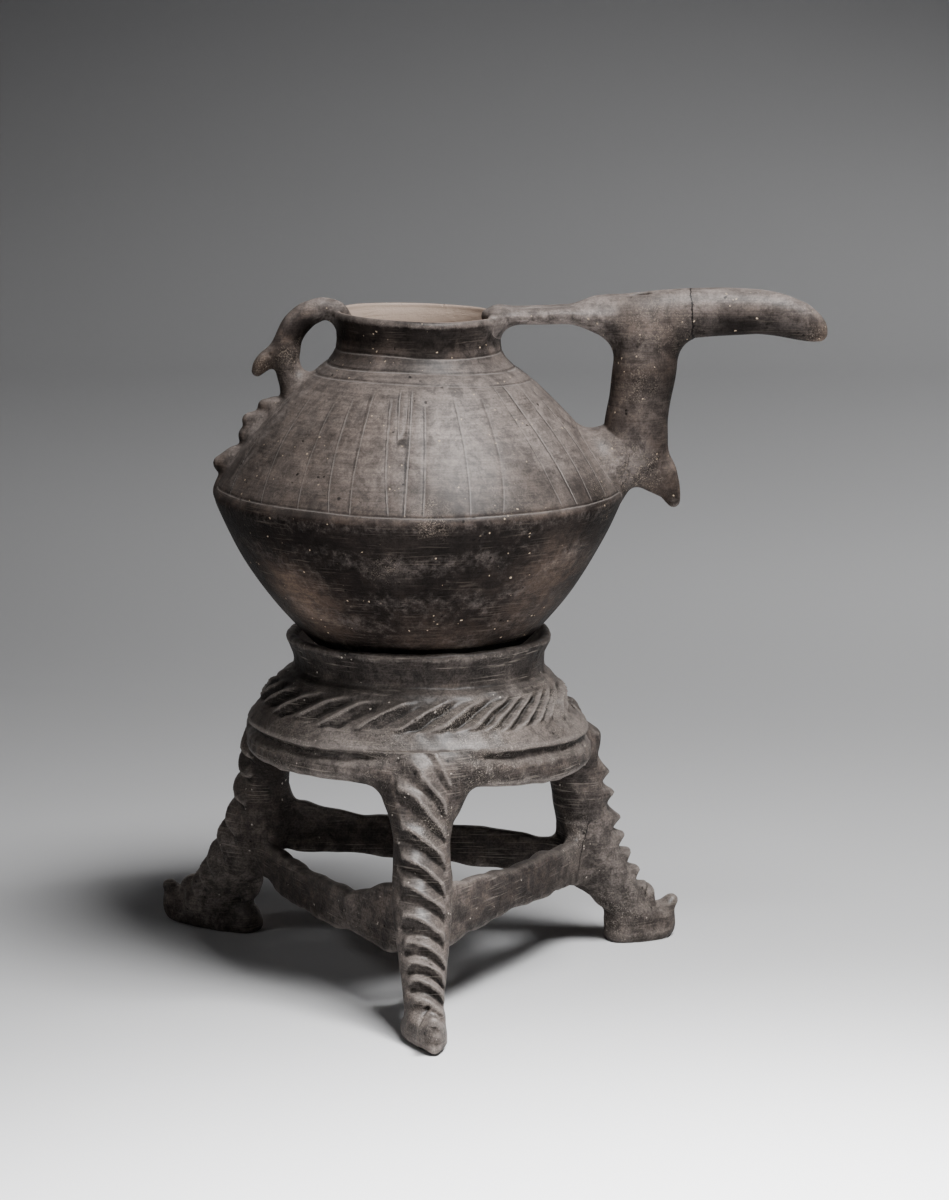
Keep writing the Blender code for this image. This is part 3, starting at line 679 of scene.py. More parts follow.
def ringSection():
    # closed outline of the ring's wall, from its lower edge up the outside, over the lip and
    # down the inside past the seat of the jar
    step = 0.25
    tall, wide, thick = ringShape["height"], ringShape["radius"], ringShape["thick"]
    outer = softLine(np.array(ringWall) * np.array([wide, tall]), step, 0.8)
    inner = [
        (68.2, tall - 0.2), (66.2, tall - 1.4), (64.4, tall - 5.0), (61.4, tall - 8.0), (57.8, tall - 11.2),
        (58.8, tall - 17), (0.78 * wide - thick, 0.885 * tall - thick), (0.91 * wide - thick, 0.818 * tall - thick),
        (0.985 * wide - thick, 0.745 * tall - thick), (0.975 * wide - 0.75 * thick, 0.645 * tall),
        (0.965 * wide, 0.635 * tall)]
    inner = softLine(inner, step, 1.2)
    whole = np.concatenate([outer, inner])
    return softLine(np.concatenate([whole[-40:], whole, whole[:40]]), step, 0.5)[40:-40]


def buildRing():
    # the section turned round the axis, raised and sunk by the slanted flutes
    section = ringSection()
    reach = travelOf(section)
    lip = reach[np.argmax(section[:, 1])]

    def density(s):
        # rows per millimetre: more at the lip
        return np.where(s < lip + 6, 1.35, 0.10) + 1.0 * np.exp(-((s - lip) / 4.0) ** 2)

    along = rowsBy(density, reach[-1] - 0.3, ringShape["rows"])
    columns = ringShape["columns"]
    turn = np.arange(columns) * 2 * math.pi / columns
    inside = (section[:, 0] < 70) * 99
    crown, edge = [reach[np.argmin(np.hypot(section[:, 0] - out, section[:, 1] - up) + inside)]
                   for out, up in ringShape["fluteEnds"]]
    # number of the flute at each place, counted from the first crest and slanted up its height
    share = ((along - edge) / (crown - edge))[:, None]
    crests = np.array(ringShape["crests"], float)
    first = crests[0]
    behind = np.linspace(crests[-1], first + 360, ringShape["crestsBehind"] + 2)
    crests = np.concatenate([crests, behind[1:]])
    climb = np.clip(share, -0.3, 1.3)
    slant = ringShape["fluteSlant"] * (0.75 * climb + 0.25 * climb * np.abs(climb) - 0.44)
    number = np.interp((np.degrees(turn)[None, :] - slant - first) % 360, crests - first, np.arange(len(crests)))
    draw = np.random.default_rng(21)
    size = draw.uniform(0.55, 1.2, len(crests))[np.minimum(number.astype(int), len(crests) - 2)]
    ends = draw.uniform(-0.10, 0.10, len(crests))[np.minimum((number + 0.5).astype(int), len(crests) - 2)]
    span = smooth(0.02, 0.20, share + ends) * smooth(1.15, 0.62, share)
    depth = (saw(number, 0.42, 1.30, 0.025) - 0.50) * ringShape["fluteDepth"] * span * size
    places = turnedWall(section, along, turn, depth).reshape(-1, 3)
    # on the right the foot of the flutes is drawn in over the ledge, at the front right the
    # lower edge sags
    turned = np.degrees(np.arctan2(places[:, 0], -places[:, 1]))
    share = np.exp(-((turned - 80) / 32) ** 2) * np.exp(-((places[:, 2] - 150) / 8.5) ** 2)
    places[:, :2] *= 1 - (share * (ringShape["drawnIn"] / np.hypot(places[:, 0], places[:, 1])))[:, None]
    places[:, 2] -= ringShape["sag"] * np.exp(-((turned - 48) / 30) ** 2) * smooth(134, 122, places[:, 2])
    places[:, 2] -= ringDrop(*places.T)
    places = handMade(places, ringShape["lumpy"])
    return clayMesh("ring", places, gridFaces(len(along), columns, True), standMarks, 40)


def buildLegs(table):
    # every part is a limb run into those before it: legs, feet and webs, straps, then the cuts
    tall, wide = ringShape["height"], ringShape["radius"]
    thick, half, blend = legShape["thick"], legShape["footWidth"] / 2, legShape["blend"]
    legs = [{key: value[number] for key, value in legShape.items() if isinstance(value, list) and len(value) == 3}
            for number in range(3)]
    field = emptyField(legShape)

    def limb(leg, points, share=1.0, soft=blend, blur=0.5, foot=True, aside=0.0, **ways):
        # a limb along a line in the leg's own plane, turned to the leg's direction and swung at
        # the foot; its share may be worked out from that line
        line = softLine(points, 0.9, blur)
        low = 1 - np.clip(line[:, 1] / (0.4 * tall), 0, 1)
        more = leg["toe"] - legs[0]["toe"] + 1.2
        tip = smooth(leg["toe"] - 42, leg["toe"] - 5, line[:, 0]) * foot
        out = line[:, 0] + (0 if foot else 0.8 * more * low)
        angle = np.radians(leg["turn"] - 90 + leg["swing"] * low)
        side = np.stack([-np.sin(angle), np.cos(angle), 0 * angle], axis=1)
        aside = aside + (leg["aside"] if foot else leg["ankleAside"] * low) + leg["tipAside"] * tip
        size = line[:, 2] * (1 - (1 - leg["pointed"]) * tip)
        x, y = out * np.cos(angle) + aside * side[:, 0], out * np.sin(angle) + aside * side[:, 1]
        line = np.stack([x, y, line[:, 1], size], axis=1)
        addLimb(field, line, side, share(line) if callable(share) else share, soft, **ways)

    def ridgesOf(number, leg):
        crests = np.array(leg["ridges"], float)
        size = np.random.default_rng(31 + number).uniform(0.88, 1.1, len(crests))

        def ridges(run, across, outward):
            # ropes of clay across a strip of the face: a saw along s - slant w - bend w^2,
            # crest by crest, that fades at the sides of the strip and at its ends
            slant, width, middle = [np.interp(run, *zip(*knots)) for knots in legShape["ridgeRun"].values()]
            down = run - slant * leg["ridgeSlant"] * across - 0.020 * across * across
            count = np.interp(down, crests, np.arange(len(crests)))
            strip = leg["ridgeHalf"] * width
            face = smooth(-4, 4, outward) * smooth(strip + 1.6, strip - 1.2, np.abs(across - middle))
            span = smooth(crests[0] - 3, crests[0] + 3, down) * smooth(crests[-1] + 5, crests[-1] + 1, down)
            each = size[np.minimum((count + 0.5).astype(int), len(crests) - 1)]
            return (saw(count, 0.42, 1.35, 0.035) - legShape["ridgeRise"]) * leg["ridgeDepth"] * face * span * each

        return ridges

    def strap(number):
        # a flat band from one leg to the next, bowed out and up, its width and edges uneven
        first, last = [math.radians(legs[i % 3]["turn"] - 90) for i in (number, number + 1)]
        low, middle, high = legShape["strapLevels"][number]
        start, centre, end = legShape["straps"][number]
        share = np.linspace(0, 1, 190)
        bow = 4 * share * (1 - share)
        x, y = [1.12 * wide * (turn(first) * (1 - share) + turn(last) * share) * (1 + 0.14 * bow)
                for turn in (math.cos, math.sin)]
        z = low * (1 - share) + high * share + (middle - (low + high) / 2) * bow
        height = centre + (start - centre) * smooth(0.45, 0.08, share) + (end - centre) * smooth(0.60, 0.90, share)
        height = height + 1.3 * np.sin(share * 23 + number) + 0.8 * np.sin(share * 51 + 2 * number)
        size = legShape["strapThick"] / 2 * (1 + 0.18 * (1 - bow))
        addLimb(field, np.stack([x, y, z, size], axis=1), (0, 0, 1), height / 2 / size, blend, boxy=True)

    for number, leg in enumerate(legs):
        toe, heel, calf, sunk = leg["toe"], leg["heel"], leg["calf"], leg["sunk"]
        points = np.array([(out * wide, up * tall, share * thick / 2) for out, up, share in legLine])
        thinner = (1 - leg["top"]) * smooth(0.36 * tall, 0.56 * tall, points[:, 1])
        points[:, 0] += thinner * thick / 2
        points[:, 2] *= 1 - thinner
        points[:, 2] *= 1 - (1 - leg["ankle"]) * smooth(0.34 * tall, 0.22 * tall, points[:, 1])
        points[1:, 0] += leg["out"]
        points[0, 1] -= 0.7 * sunk
        points[:, 0] -= leg["back"] * smooth(0.62 * tall, 0.72 * tall, points[:, 1])
        points[1:, 2] += leg["fuller"]
        limb(leg, points, 1.06, blur=3.0, foot=False, carve=ridgesOf(number, leg))
        # the foot, its sole, its upturned end and the lump on it
        middle = 0.5 * (heel + toe)
        limb(leg, [
            (heel + 4.5, 5.5, 0.42 * half), (heel + 9, 7, 0.78 * half), (middle - 6, 8.5, 0.92 * half),
            (middle + 6, 8.5, 0.90 * half), (toe - 11, 8.5, 0.80 * half), (toe - 6.5, 9.5, 0.55 * half)],
            1.12, blur=3.0, boxy=leg["square"])
        limb(leg, [(heel + 4, 3.0, 3.6), (middle, 3.4, 4.4), (toe - 9, 3.4, 4.4), (toe - 4.8, 3.4, 3.8)],
             lambda line: np.interp(np.linspace(0, 1, len(line)), [0, 0.3, 0.75, 1], [2.0, 2.5, 2.4, 1.4]), 5.0, 1.0)
        end = toe + leg["tip"]
        limb(leg, [(toe - 15, 11, 0.60 * half), (end - 6.5, 15.0, 0.46 * half), (end - 2.9, 18.8, 0.34 * half)],
             1.25, 4.0, 1.5)
        out, up, size = leg["instep"]
        limb(leg, [(out - 2, up - 3, size), (out, up, size)], 1.3, 3.0)
        # the clay behind the ankle, and the web that runs up to the ring
        limb(leg, [(heel - 1, 30, calf), (heel + 4, 14, calf)], 1.0, 8.0)
        bottom, top = 0.615 * tall, 0.700 * tall
        web = [(0.955 * wide - 0.3 * sunk, top - sunk, 9.5 - 0.2 * sunk), (0.975 * wide, bottom, 8.0)]
        limb(leg, web, lambda line: np.interp(line[:, 2], [bottom, top], [2.0, 3.1]), 15.0, foot=False, aside=3.4)
    for number in range(3):
        strap(number)
    for leg in legs[1:]:
        heel, size = leg["heel"], leg["notch"]
        limb(leg, [(heel - 3.5, 17, size), (heel - 2.0, 15.5, size)], 3.2, 3.0, cut=True)
    # the grooves on the front toe follow the slope of its face, found along lines from the front
    front = np.linspace(-171, -140, 120)
    for cut in legShape["toeCuts"]:
        line = softLine(cut, 0.6, 1.0)
        met = []
        for out, up, size in line:
            column = np.stack([np.full(len(front), out), front, np.full(len(front), up)], axis=1)
            met.append(front[np.argmax(readField(field["far"], field, column) < 0)])
        slope = np.polyval(np.polyfit(line[:, 1], met, 1), line[:, 1])
        addLimb(field, np.stack([line[:, 0], slope - 0.3, line[:, 1], line[:, 2]], axis=1), blend=1.2, cut=True)
    root = wallDistance(field, table, ringDrop)
    places, quads = clayPiece(field, root, legShape["rootBlend"], 2.0, 9.0, True)
    places = handMade(places, ringShape["lumpy"])
    places[:, 2] = np.maximum(places[:, 2], 0)
    piece = clayMesh("legs", places, quads, standMarks, 40)
    piece.modifiers.new("thin", "DECIMATE").ratio = legShape["keep"]
    return piece


# where the colour differs from the clay's base, in millimetres: middle, reach and amount; some
# of the smoke marks are painted shade and some of the pale marks painted light
jarMarks = {
    # dark clouds of the firing, and painted shade under the lip of the neck and under the beak
    "smoke": [
        (0, 0, 205, 62, 0.9), (-60, -90, 240, 42, 0.9), (20, -100, 250, 34, 0.8), (95, -55, 258, 26, 0.8),
        (0, -46, 350, 20, 0.9), (-30, -36, 350, 18, 0.8), (30, -36, 350, 18, 0.7), (-60, -92, 268, 26, 0.75),
        (-30, -104, 262, 22, 0.7), (60, -92, 262, 26, 0.8), (-84, -40, 290, 26, 0.6), (150, -14, 350, 14, 0.6),
        (104, -22, 262, 14, 0.7),  (-74, -62, 292, 26, 0.6), (66, -82, 277, 20, 0.7),
        (-96, -36, 236, 26, 0.8), (172, -12, 348, 19, 0.85), (196, -12, 344, 16, 0.8), (136, -16, 350, 13, 0.4),
        (-50, -72, 308, 22, 0.4), (84, -62, 274, 16, 0.65), (38, -100, 271, 14, 0.6), (-66, -84, 275, 20, 0.65),
        (-20, -106, 256, 30, 0.8), (-78, -66, 262, 24, 0.7), (50, -96, 250, 26, 0.8)],
    "brown": [
        (-58, -62, 222, 26, 1.0), (66, -60, 224, 27, 1.0), (10, -60, 196, 26, 0.6), (-30, -70, 292, 38, 0.75),
        (40, -80, 280, 30, 0.35), (218, 0, 350, 12, 0.9), (132, -6, 266, 12, 0.5), (-84, -4, 333, 9, 1.0),
        (-60, 40, 230, 40, 0.6), (50, 70, 240, 44, 0.6)],
    # pale patches and worn tips of the knobs, and painted light on the tops of the bridge, the beak and the handle
    # and on the front of the shoulder
    "pale": [
        (20, -62, 306, 36, 0.9), (60, -50, 304, 28, 0.8), (0, -80, 286, 26, 0.7), (104, -18, 284, 15, 1.0),
        (60, -8, 367, 28, 1.0), (90, 0, 372, 24, 1.0), (124, 0, 384, 26, 1.0), (150, 0, 384, 25, 1.0),
        (176, 0, 382, 24, 1.0), (198, 0, 376, 20, 0.9),
        (-44, 0, 369, 12, 0.8), (118, -16, 347, 11, 0.4), (122, -10, 278, 12, 0.15), (118, -12, 312, 16, 0.2),
        (-66, -9, 330, 10, 1.0), (-76, -16, 318, 10, 1.0), (-88, -14, 300, 9, 0.9),
        (-98, -12, 284, 8, 0.8), (-62, -24, 323, 5, 0.9), (-74, -28, 310, 5, 0.9), (-82, -30, 301, 5, 1.0),
        (-90, -34, 290, 5, 0.9), (-97, -36, 278, 5, 0.8), (-10, -90, 245, 9, 0.6), (0, -52, 336, 14, 0.6),
        (34, -40, 338, 14, 0.8)],
    "crust": [
        (102, -24, 283, 15, 1.0), (92, -40, 274, 12, 0.9), (-14, -90, 244, 10, 1.0), (118, -14, 276, 12, 0.8),
        (126, -10, 264, 8, 0.5),
        (-68, -9, 338, 9, 0.9), (130, -10, 360, 22, 0.5), (116, -14, 326, 14, 0.4), (8, -108, 268, 9, 0.8),
        (212, -4, 352, 10, 0.8), (-84, -5, 334, 7, 1.0), (50, -92, 274, 14, 0.5)],
}
standMarks = {
    # dark clouds of the firing, and painted shade: the jar's shadow round the collar and the shade under the ledge
    "smoke": [
        (0, 90, 60, 60, 1.0), (0, -72, 178, 40, 0.8), (-72, -20, 178, 40, 0.7), (-70, -70, 128, 30, 0.6),
        (60, 80, 110, 40, 0.6), (-80, 50, 100, 34, 0.6), (40, -74, 176, 28, 0.8), (48, -78, 130, 20, 0.5),
        (80, -50, 128, 20, 0.5), (65, -66, 127, 17, 1.0), (28, -88, 127, 14, 0.7),
        (66, -70, 26, 34, 0.5), (0, -68, 180, 20, 1.0), (34, -58, 180, 20, 1.0), (58, -34, 180, 20, 1.0),
        (-34, -58, 180, 20, 0.9), (-58, -34, 180, 20, 0.9), (0, 68, 178, 30, 0.8), (58, 34, 178, 30, 0.8),
        (-58, 34, 178, 30, 0.8), (0, -112, 92, 26, 0.6), (0, -122, 60, 18, 0.35)],
    "brown": [
        (0, -165, 10, 14, 0.6), (-150, 90, 10, 26, 0.6), (140, 80, 10, 26, 0.5), (-88, 20, 70, 20, 0.5),
        (60, -70, 150, 30, 0.4)],
    "pale": [
        (50, -60, 164, 26, 0.8), (10, -80, 156, 24, 0.6), (0, -90, 146, 22, 0.6), (80, -28, 156, 22, 0.6),
        (0, -120, 60, 50, 0.2), (30, -66, 190, 16, 0.8), (110, 60, 50, 50, 0.6), (84, 20, 70, 16, 0.8),
        (-50, -76, 150, 34, 0.7), (-120, 70, 20, 50, 0.7), (0, -155, 16, 24, 0.6), (-60, -80, 128, 24, 0.5),
        (0, -126, 34, 28, 0.5), (-60, -70, 50, 30, 0.5), (-62, -62, 26, 30, 0.4)],
    "crust": [
        (30, -84, 144, 26, 0.8), (74, -48, 148, 20, 0.6), (-20, -90, 133, 8, 1.0), (84, -30, 150, 26, 0.8),
        (-10, -92, 142, 22, 0.6), (14, -100, 60, 14, 0.5), (12, -110, 110, 16, 0.5), (-60, 60, 90, 20, 0.4),
        (40, -74, 189, 11, 0.7), (110, 60, 20, 22, 0.8), (84, 20, 66, 14, 0.8), (0, -155, 20, 14, 0.7),
        (-70, -60, 140, 24, 0.4)],
}


def clayMarks(places, quads, marks, rounds):
    # masks at the vertices: each the greatest of its bells, lifted and lowered by slow waves;
    # how far the surface faces up; and its relief
    masks = {}
    for order, (key, spots) in enumerate(marks.items()):
        total = np.zeros(len(places))
        for x, y, z, reach, amount in spots:
            square = ((places - np.array([x, y, z])) ** 2).sum(axis=1)
            total = np.maximum(total, amount * np.exp(-square / (reach * reach)))
        masks[key] = np.clip(total * (1 + 0.35 * waves(places, 42, 60 + order, 6)), 0, 1)
    masks["up"] = normalsOf(places, quads)[:, 2]
    masks["edge"], masks["flank"] = reliefOf(places, quads, rounds)
    return masks


def addNode(kind, settings=None, values=None, tree=None):
    # one node, in the tree of the sockets that feed it; a value is a number or such a socket
    values = values or {}
    fed = {key: value for key, value in values.items() if isinstance(value, bpy.types.NodeSocket)}
    tree = tree or next(iter(fed.values())).id_data
    made = tree.nodes.new(kind)
    for key, value in (settings or {}).items():
        setattr(made, key, value)
    for key, value in values.items():
        if key in fed:
            tree.links.new(value, made.inputs[key])
        else:
            made.inputs[key].default_value = value
    return made


def maths(operation, *values):
    return addNode("ShaderNodeMath", {"operation": operation}, dict(enumerate(values))).outputs[0]


def times(*values):
    return maths("MULTIPLY", *values)


def timesPlus(*values):
    # the first by the second, plus the third
    return maths("MULTIPLY_ADD", *values)


def rise(value, low, high, least=0.0, most=1.0):
    # from the least to the most, smoothly, while the value goes from low to high
    made = addNode("ShaderNodeMapRange", {"interpolation_type": "SMOOTHSTEP"},
                   {"Value": value, "From Min": low, "From Max": high, "To Min": least, "To Max": most})
    return made.outputs["Result"]


def noise(place, size, detail, rough, bend=0.0):
    # cloudy values between 0 and 1 whose clouds are about this many millimetres across
    made = addNode("ShaderNodeTexNoise", {"noise_dimensions": "3D"},
                   {"Vector": place, "Scale": 1.0 / size, "Detail": detail, "Roughness": rough, "Distortion": bend})
    return made.outputs["Fac"]


def stretched(place, sizes, turn=(0.0, 0.0, 0.0)):
    # the place turned, then scaled along each axis
    return addNode("ShaderNodeMapping", {"vector_type": "POINT"},
                   {"Vector": place, "Rotation": turn, "Scale": sizes}).outputs["Vector"]


def blendColour(share, first, second, way="MIX"):
    return addNode("ShaderNodeMix", {"data_type": "RGBA", "blend_type": way, "clamp_factor": True},
                   {0: share, 6: first, 7: second}).outputs[2]


def newGroup(name, inputs, outputs):
    # a group with named sockets, those without a value and the output Place for places; given
    # back with its inputs to read and the function that feeds its outputs
    group = bpy.data.node_groups.new(name, "ShaderNodeTree")
    for key, value in inputs.items():
        kind = "NodeSocketVector" if value is None else "NodeSocketFloat"
        socket = group.interface.new_socket(key, in_out="INPUT", socket_type=kind)
        if value is not None:
            socket.default_value = value
    for key in outputs:
        kind = "NodeSocketVector" if key == "Place" else "NodeSocketFloat"
        group.interface.new_socket(key, in_out="OUTPUT", socket_type=kind)
    ends = group.nodes.new("NodeGroupOutput").inputs

    def put(**values):
        for key, value in values.items():
            group.links.new(value, ends[key])

    return group, group.nodes.new("NodeGroupInput").outputs, put


def makePlaceGroup():
    # the place in millimetres round the turning axis
    group, get, put = newGroup("place in millimetres", {}, ["Place"])
    own = addNode("ShaderNodeTexCoord", tree=group).outputs["Object"]
    moved = addNode("ShaderNodeMapping", {"vector_type": "POINT"}, {
        "Vector": own, "Location": (-1000 * axisPlace[0], -1000 * axisPlace[1], 0), "Scale": (1000, 1000, 1000)})
    put(Place=moved.outputs["Vector"])
    return group


def makeClouds():
    # cloudy firing tones, round 0.5: wide smoke, blotches, patches and a fine grain
    group, get, put = newGroup("firing clouds", {"Place": None}, ["Wide", "Blotch", "Patchy", "Grain"])
    put(Wide=noise(get["Place"], 52.0, 4, 0.6, 0.6), Blotch=noise(get["Place"], 19.0, 5, 0.62, 0.8),
        Patchy=noise(get["Place"], 8.0, 5, 0.70, 0.4), Grain=noise(get["Place"], 1.2, 3, 0.75, 0.0))
    return group


def makeStrokes():
    # marks of the burnisher: noise drawn out level, and the few fine scratches left by it
    group, get, put = newGroup("burnish strokes", {"Place": None}, ["Level", "Scratches"])
    level = noise(stretched(get["Place"], (0.028, 0.028, 0.75)), 1.0, 4, 0.65, 0.3)
    thin = stretched(get["Place"], (0.035, 0.035, 1.1), (0.20, 0.30, 0.0))
    fine = rise(noise(thin, 1.0, 3, 0.65), 0.56, 0.66)
    rare = rise(noise(get["Place"], 22.0, 3, 0.6), 0.42, 0.62)
    put(Level=level, Scratches=times(fine, rare))
    return group


def makeSpots(place, size, near, far):
    # round spots in cells of this size: how dark each is, and the chance drawn for its cell
    cells = addNode("ShaderNodeTexVoronoi", {"feature": "F1", "voronoi_dimensions": "3D"},
                    {"Vector": place, "Scale": size, "Randomness": 1.0})
    chance = addNode("ShaderNodeSeparateColor", None, {"Color": cells.outputs["Color"]}).outputs["Red"]
    return rise(cells.outputs["Distance"], far, near), chance


def makeFlecks():
    # pale grains scattered in the clay, thick in some patches and rare elsewhere, a gritty
    # crust, and small dark pits
    group, get, put = newGroup("flecks", {"Place": None, "Size": 1.6, "Amount": 0.3}, ["Flecks", "Crust", "Pits"])
    place = get["Place"]
    bent = addNode("ShaderNodeTexNoise", {"noise_dimensions": "3D"},
                   {"Vector": place, "Scale": 0.7, "Detail": 2.0}).outputs["Color"]
    bent = addNode("ShaderNodeVectorMath", {"operation": "MULTIPLY_ADD"},
                   {0: bent, 1: (1.6, 1.6, 1.6), 2: place}).outputs["Vector"]
    patch = rise(noise(place, 17.0, 4, 0.6, 0.5), 0.48, 0.64)
    dot, chance = makeSpots(bent, maths("DIVIDE", 1.0, get["Size"]), 0.18, 0.42)
    often = times(get["Amount"], timesPlus(patch, 0.10, 0.006))
    pit, pitChance = makeSpots(bent, 0.36, 0.16, 0.40)
    grit = rise(noise(place, 0.8, 3, 0.80), 0.50, 0.64)
    lumpy = rise(noise(place, 5.0, 4, 0.70, 0.4), 0.40, 0.60, 0.15, 1.0)
    put(Flecks=times(maths("LESS_THAN", chance, often), dot), Crust=times(grit, lumpy),
        Pits=times(maths("LESS_THAN", pitChance, timesPlus(patch, 0.05, 0.004)), pit))
    return group


def makeWear():
    # from the relief: edges rubbed pale, painted shade in the hollows, dust and painted light on what faces
    # up, painted light on the upper flanks, which are also smoother, and painted shade on the lower flanks
    group, get, put = newGroup("edge wear", {"Place": None, "Edge": 0.0, "Up": 0.0, "Flank": 0.0},
                               ["Rubbed", "Dirt", "Dust", "Upper", "Lower"])
    ragged = timesPlus(noise(get["Place"], 4.0, 5, 0.75), 0.44, -0.22)
    edge = maths("ADD", get["Edge"], ragged)
    up = timesPlus(noise(get["Place"], 7.0, 4, 0.65), 0.5, get["Up"])
    flank = timesPlus(ragged, 0.7, get["Flank"])
    put(Rubbed=rise(edge, 0.06, 0.34), Dirt=rise(edge, -0.04, -0.34), Dust=rise(up, 0.35, 1.25),
        Upper=rise(flank, 0.02, 0.42), Lower=rise(flank, -0.02, -0.42))
    return group


def makeLines():
    # the scratched lines as 0 to 1: those down the shoulder from their angle and step, those
    # round the jar from their distances; each is pale, pale dust and painted light, with a dark side of
    # painted shade; on the lines round the jar the pale part is painted light on the lower wall, which faces up
    inputs = {"Place": None, "Cosine": 1.0, "Sine": 0.0, "Step": 10.0, "Deep": 0.0}
    inputs.update(dict.fromkeys(jarBody["ringLines"], 50.0))
    group, get, put = newGroup("scratched lines", inputs, ["Lines", "Shadows"])
    ragged = noise(get["Place"], 2.2, 3, 0.7)
    turned = maths("ARCTAN2", get["Sine"], get["Cosine"])
    signed = times(turned, times(get["Step"], 0.5 / math.pi))
    signed = maths("ADD", signed, timesPlus(ragged, 0.6, -0.3))
    broken = rise(noise(get["Place"], 13.0, 3, 0.6), 0.34, 0.52, 0.35, 1.0)
    strength = times(get["Deep"], broken)

    def stripe(value, middle, half, amount):
        away = maths("ABSOLUTE", maths("ADD", value, -middle))
        return times(rise(away, half, 0.2 * half), amount)

    lines = stripe(signed, 0.10, 0.50, strength)
    shadows = stripe(signed, -0.70, 0.55, strength)
    for key, (level, width, deep, wander) in jarBody["ringLines"].items():
        value = maths("ADD", get[key], timesPlus(ragged, 0.8, -0.4))
        amount = times(broken, min(1.0, deep + 0.45))
        lines = maths("MAXIMUM", lines, stripe(value, -0.25 * width, 0.40 * width, amount))
        shadows = maths("MAXIMUM", shadows, stripe(value, 0.45 * width, 0.40 * width, times(amount, 0.7)))
    put(Lines=lines, Shadows=shadows)
    return group


def makeCrack():
    # a fine break: the distance to a plane through a point, made ragged, within a reach
    group, get, put = newGroup(
        "crack", {"Place": None, "Point": None, "Across": None, "Reach": 12.0, "Width": 0.5}, ["Crack"])
    away = addNode("ShaderNodeVectorMath", {"operation": "SUBTRACT"}, {0: get["Place"], 1: get["Point"]}).outputs[0]
    flat, length = [addNode("ShaderNodeVectorMath", {"operation": kind}, values).outputs["Value"]
                    for kind, values in (("DOT_PRODUCT", {0: away, 1: get["Across"]}), ("LENGTH", {0: away}))]
    ragged = timesPlus(noise(get["Place"], 6.0, 4, 0.7), 5.0, -2.5)
    distance = maths("ABSOLUTE", maths("ADD", flat, ragged))
    put(Crack=times(maths("LESS_THAN", distance, get["Width"]), maths("LESS_THAN", length, get["Reach"])))
    return group


def useGroup(name, values=None, tree=None):
    return addNode("ShaderNodeGroup", {"node_tree": groups[name]}, values, tree).outputs


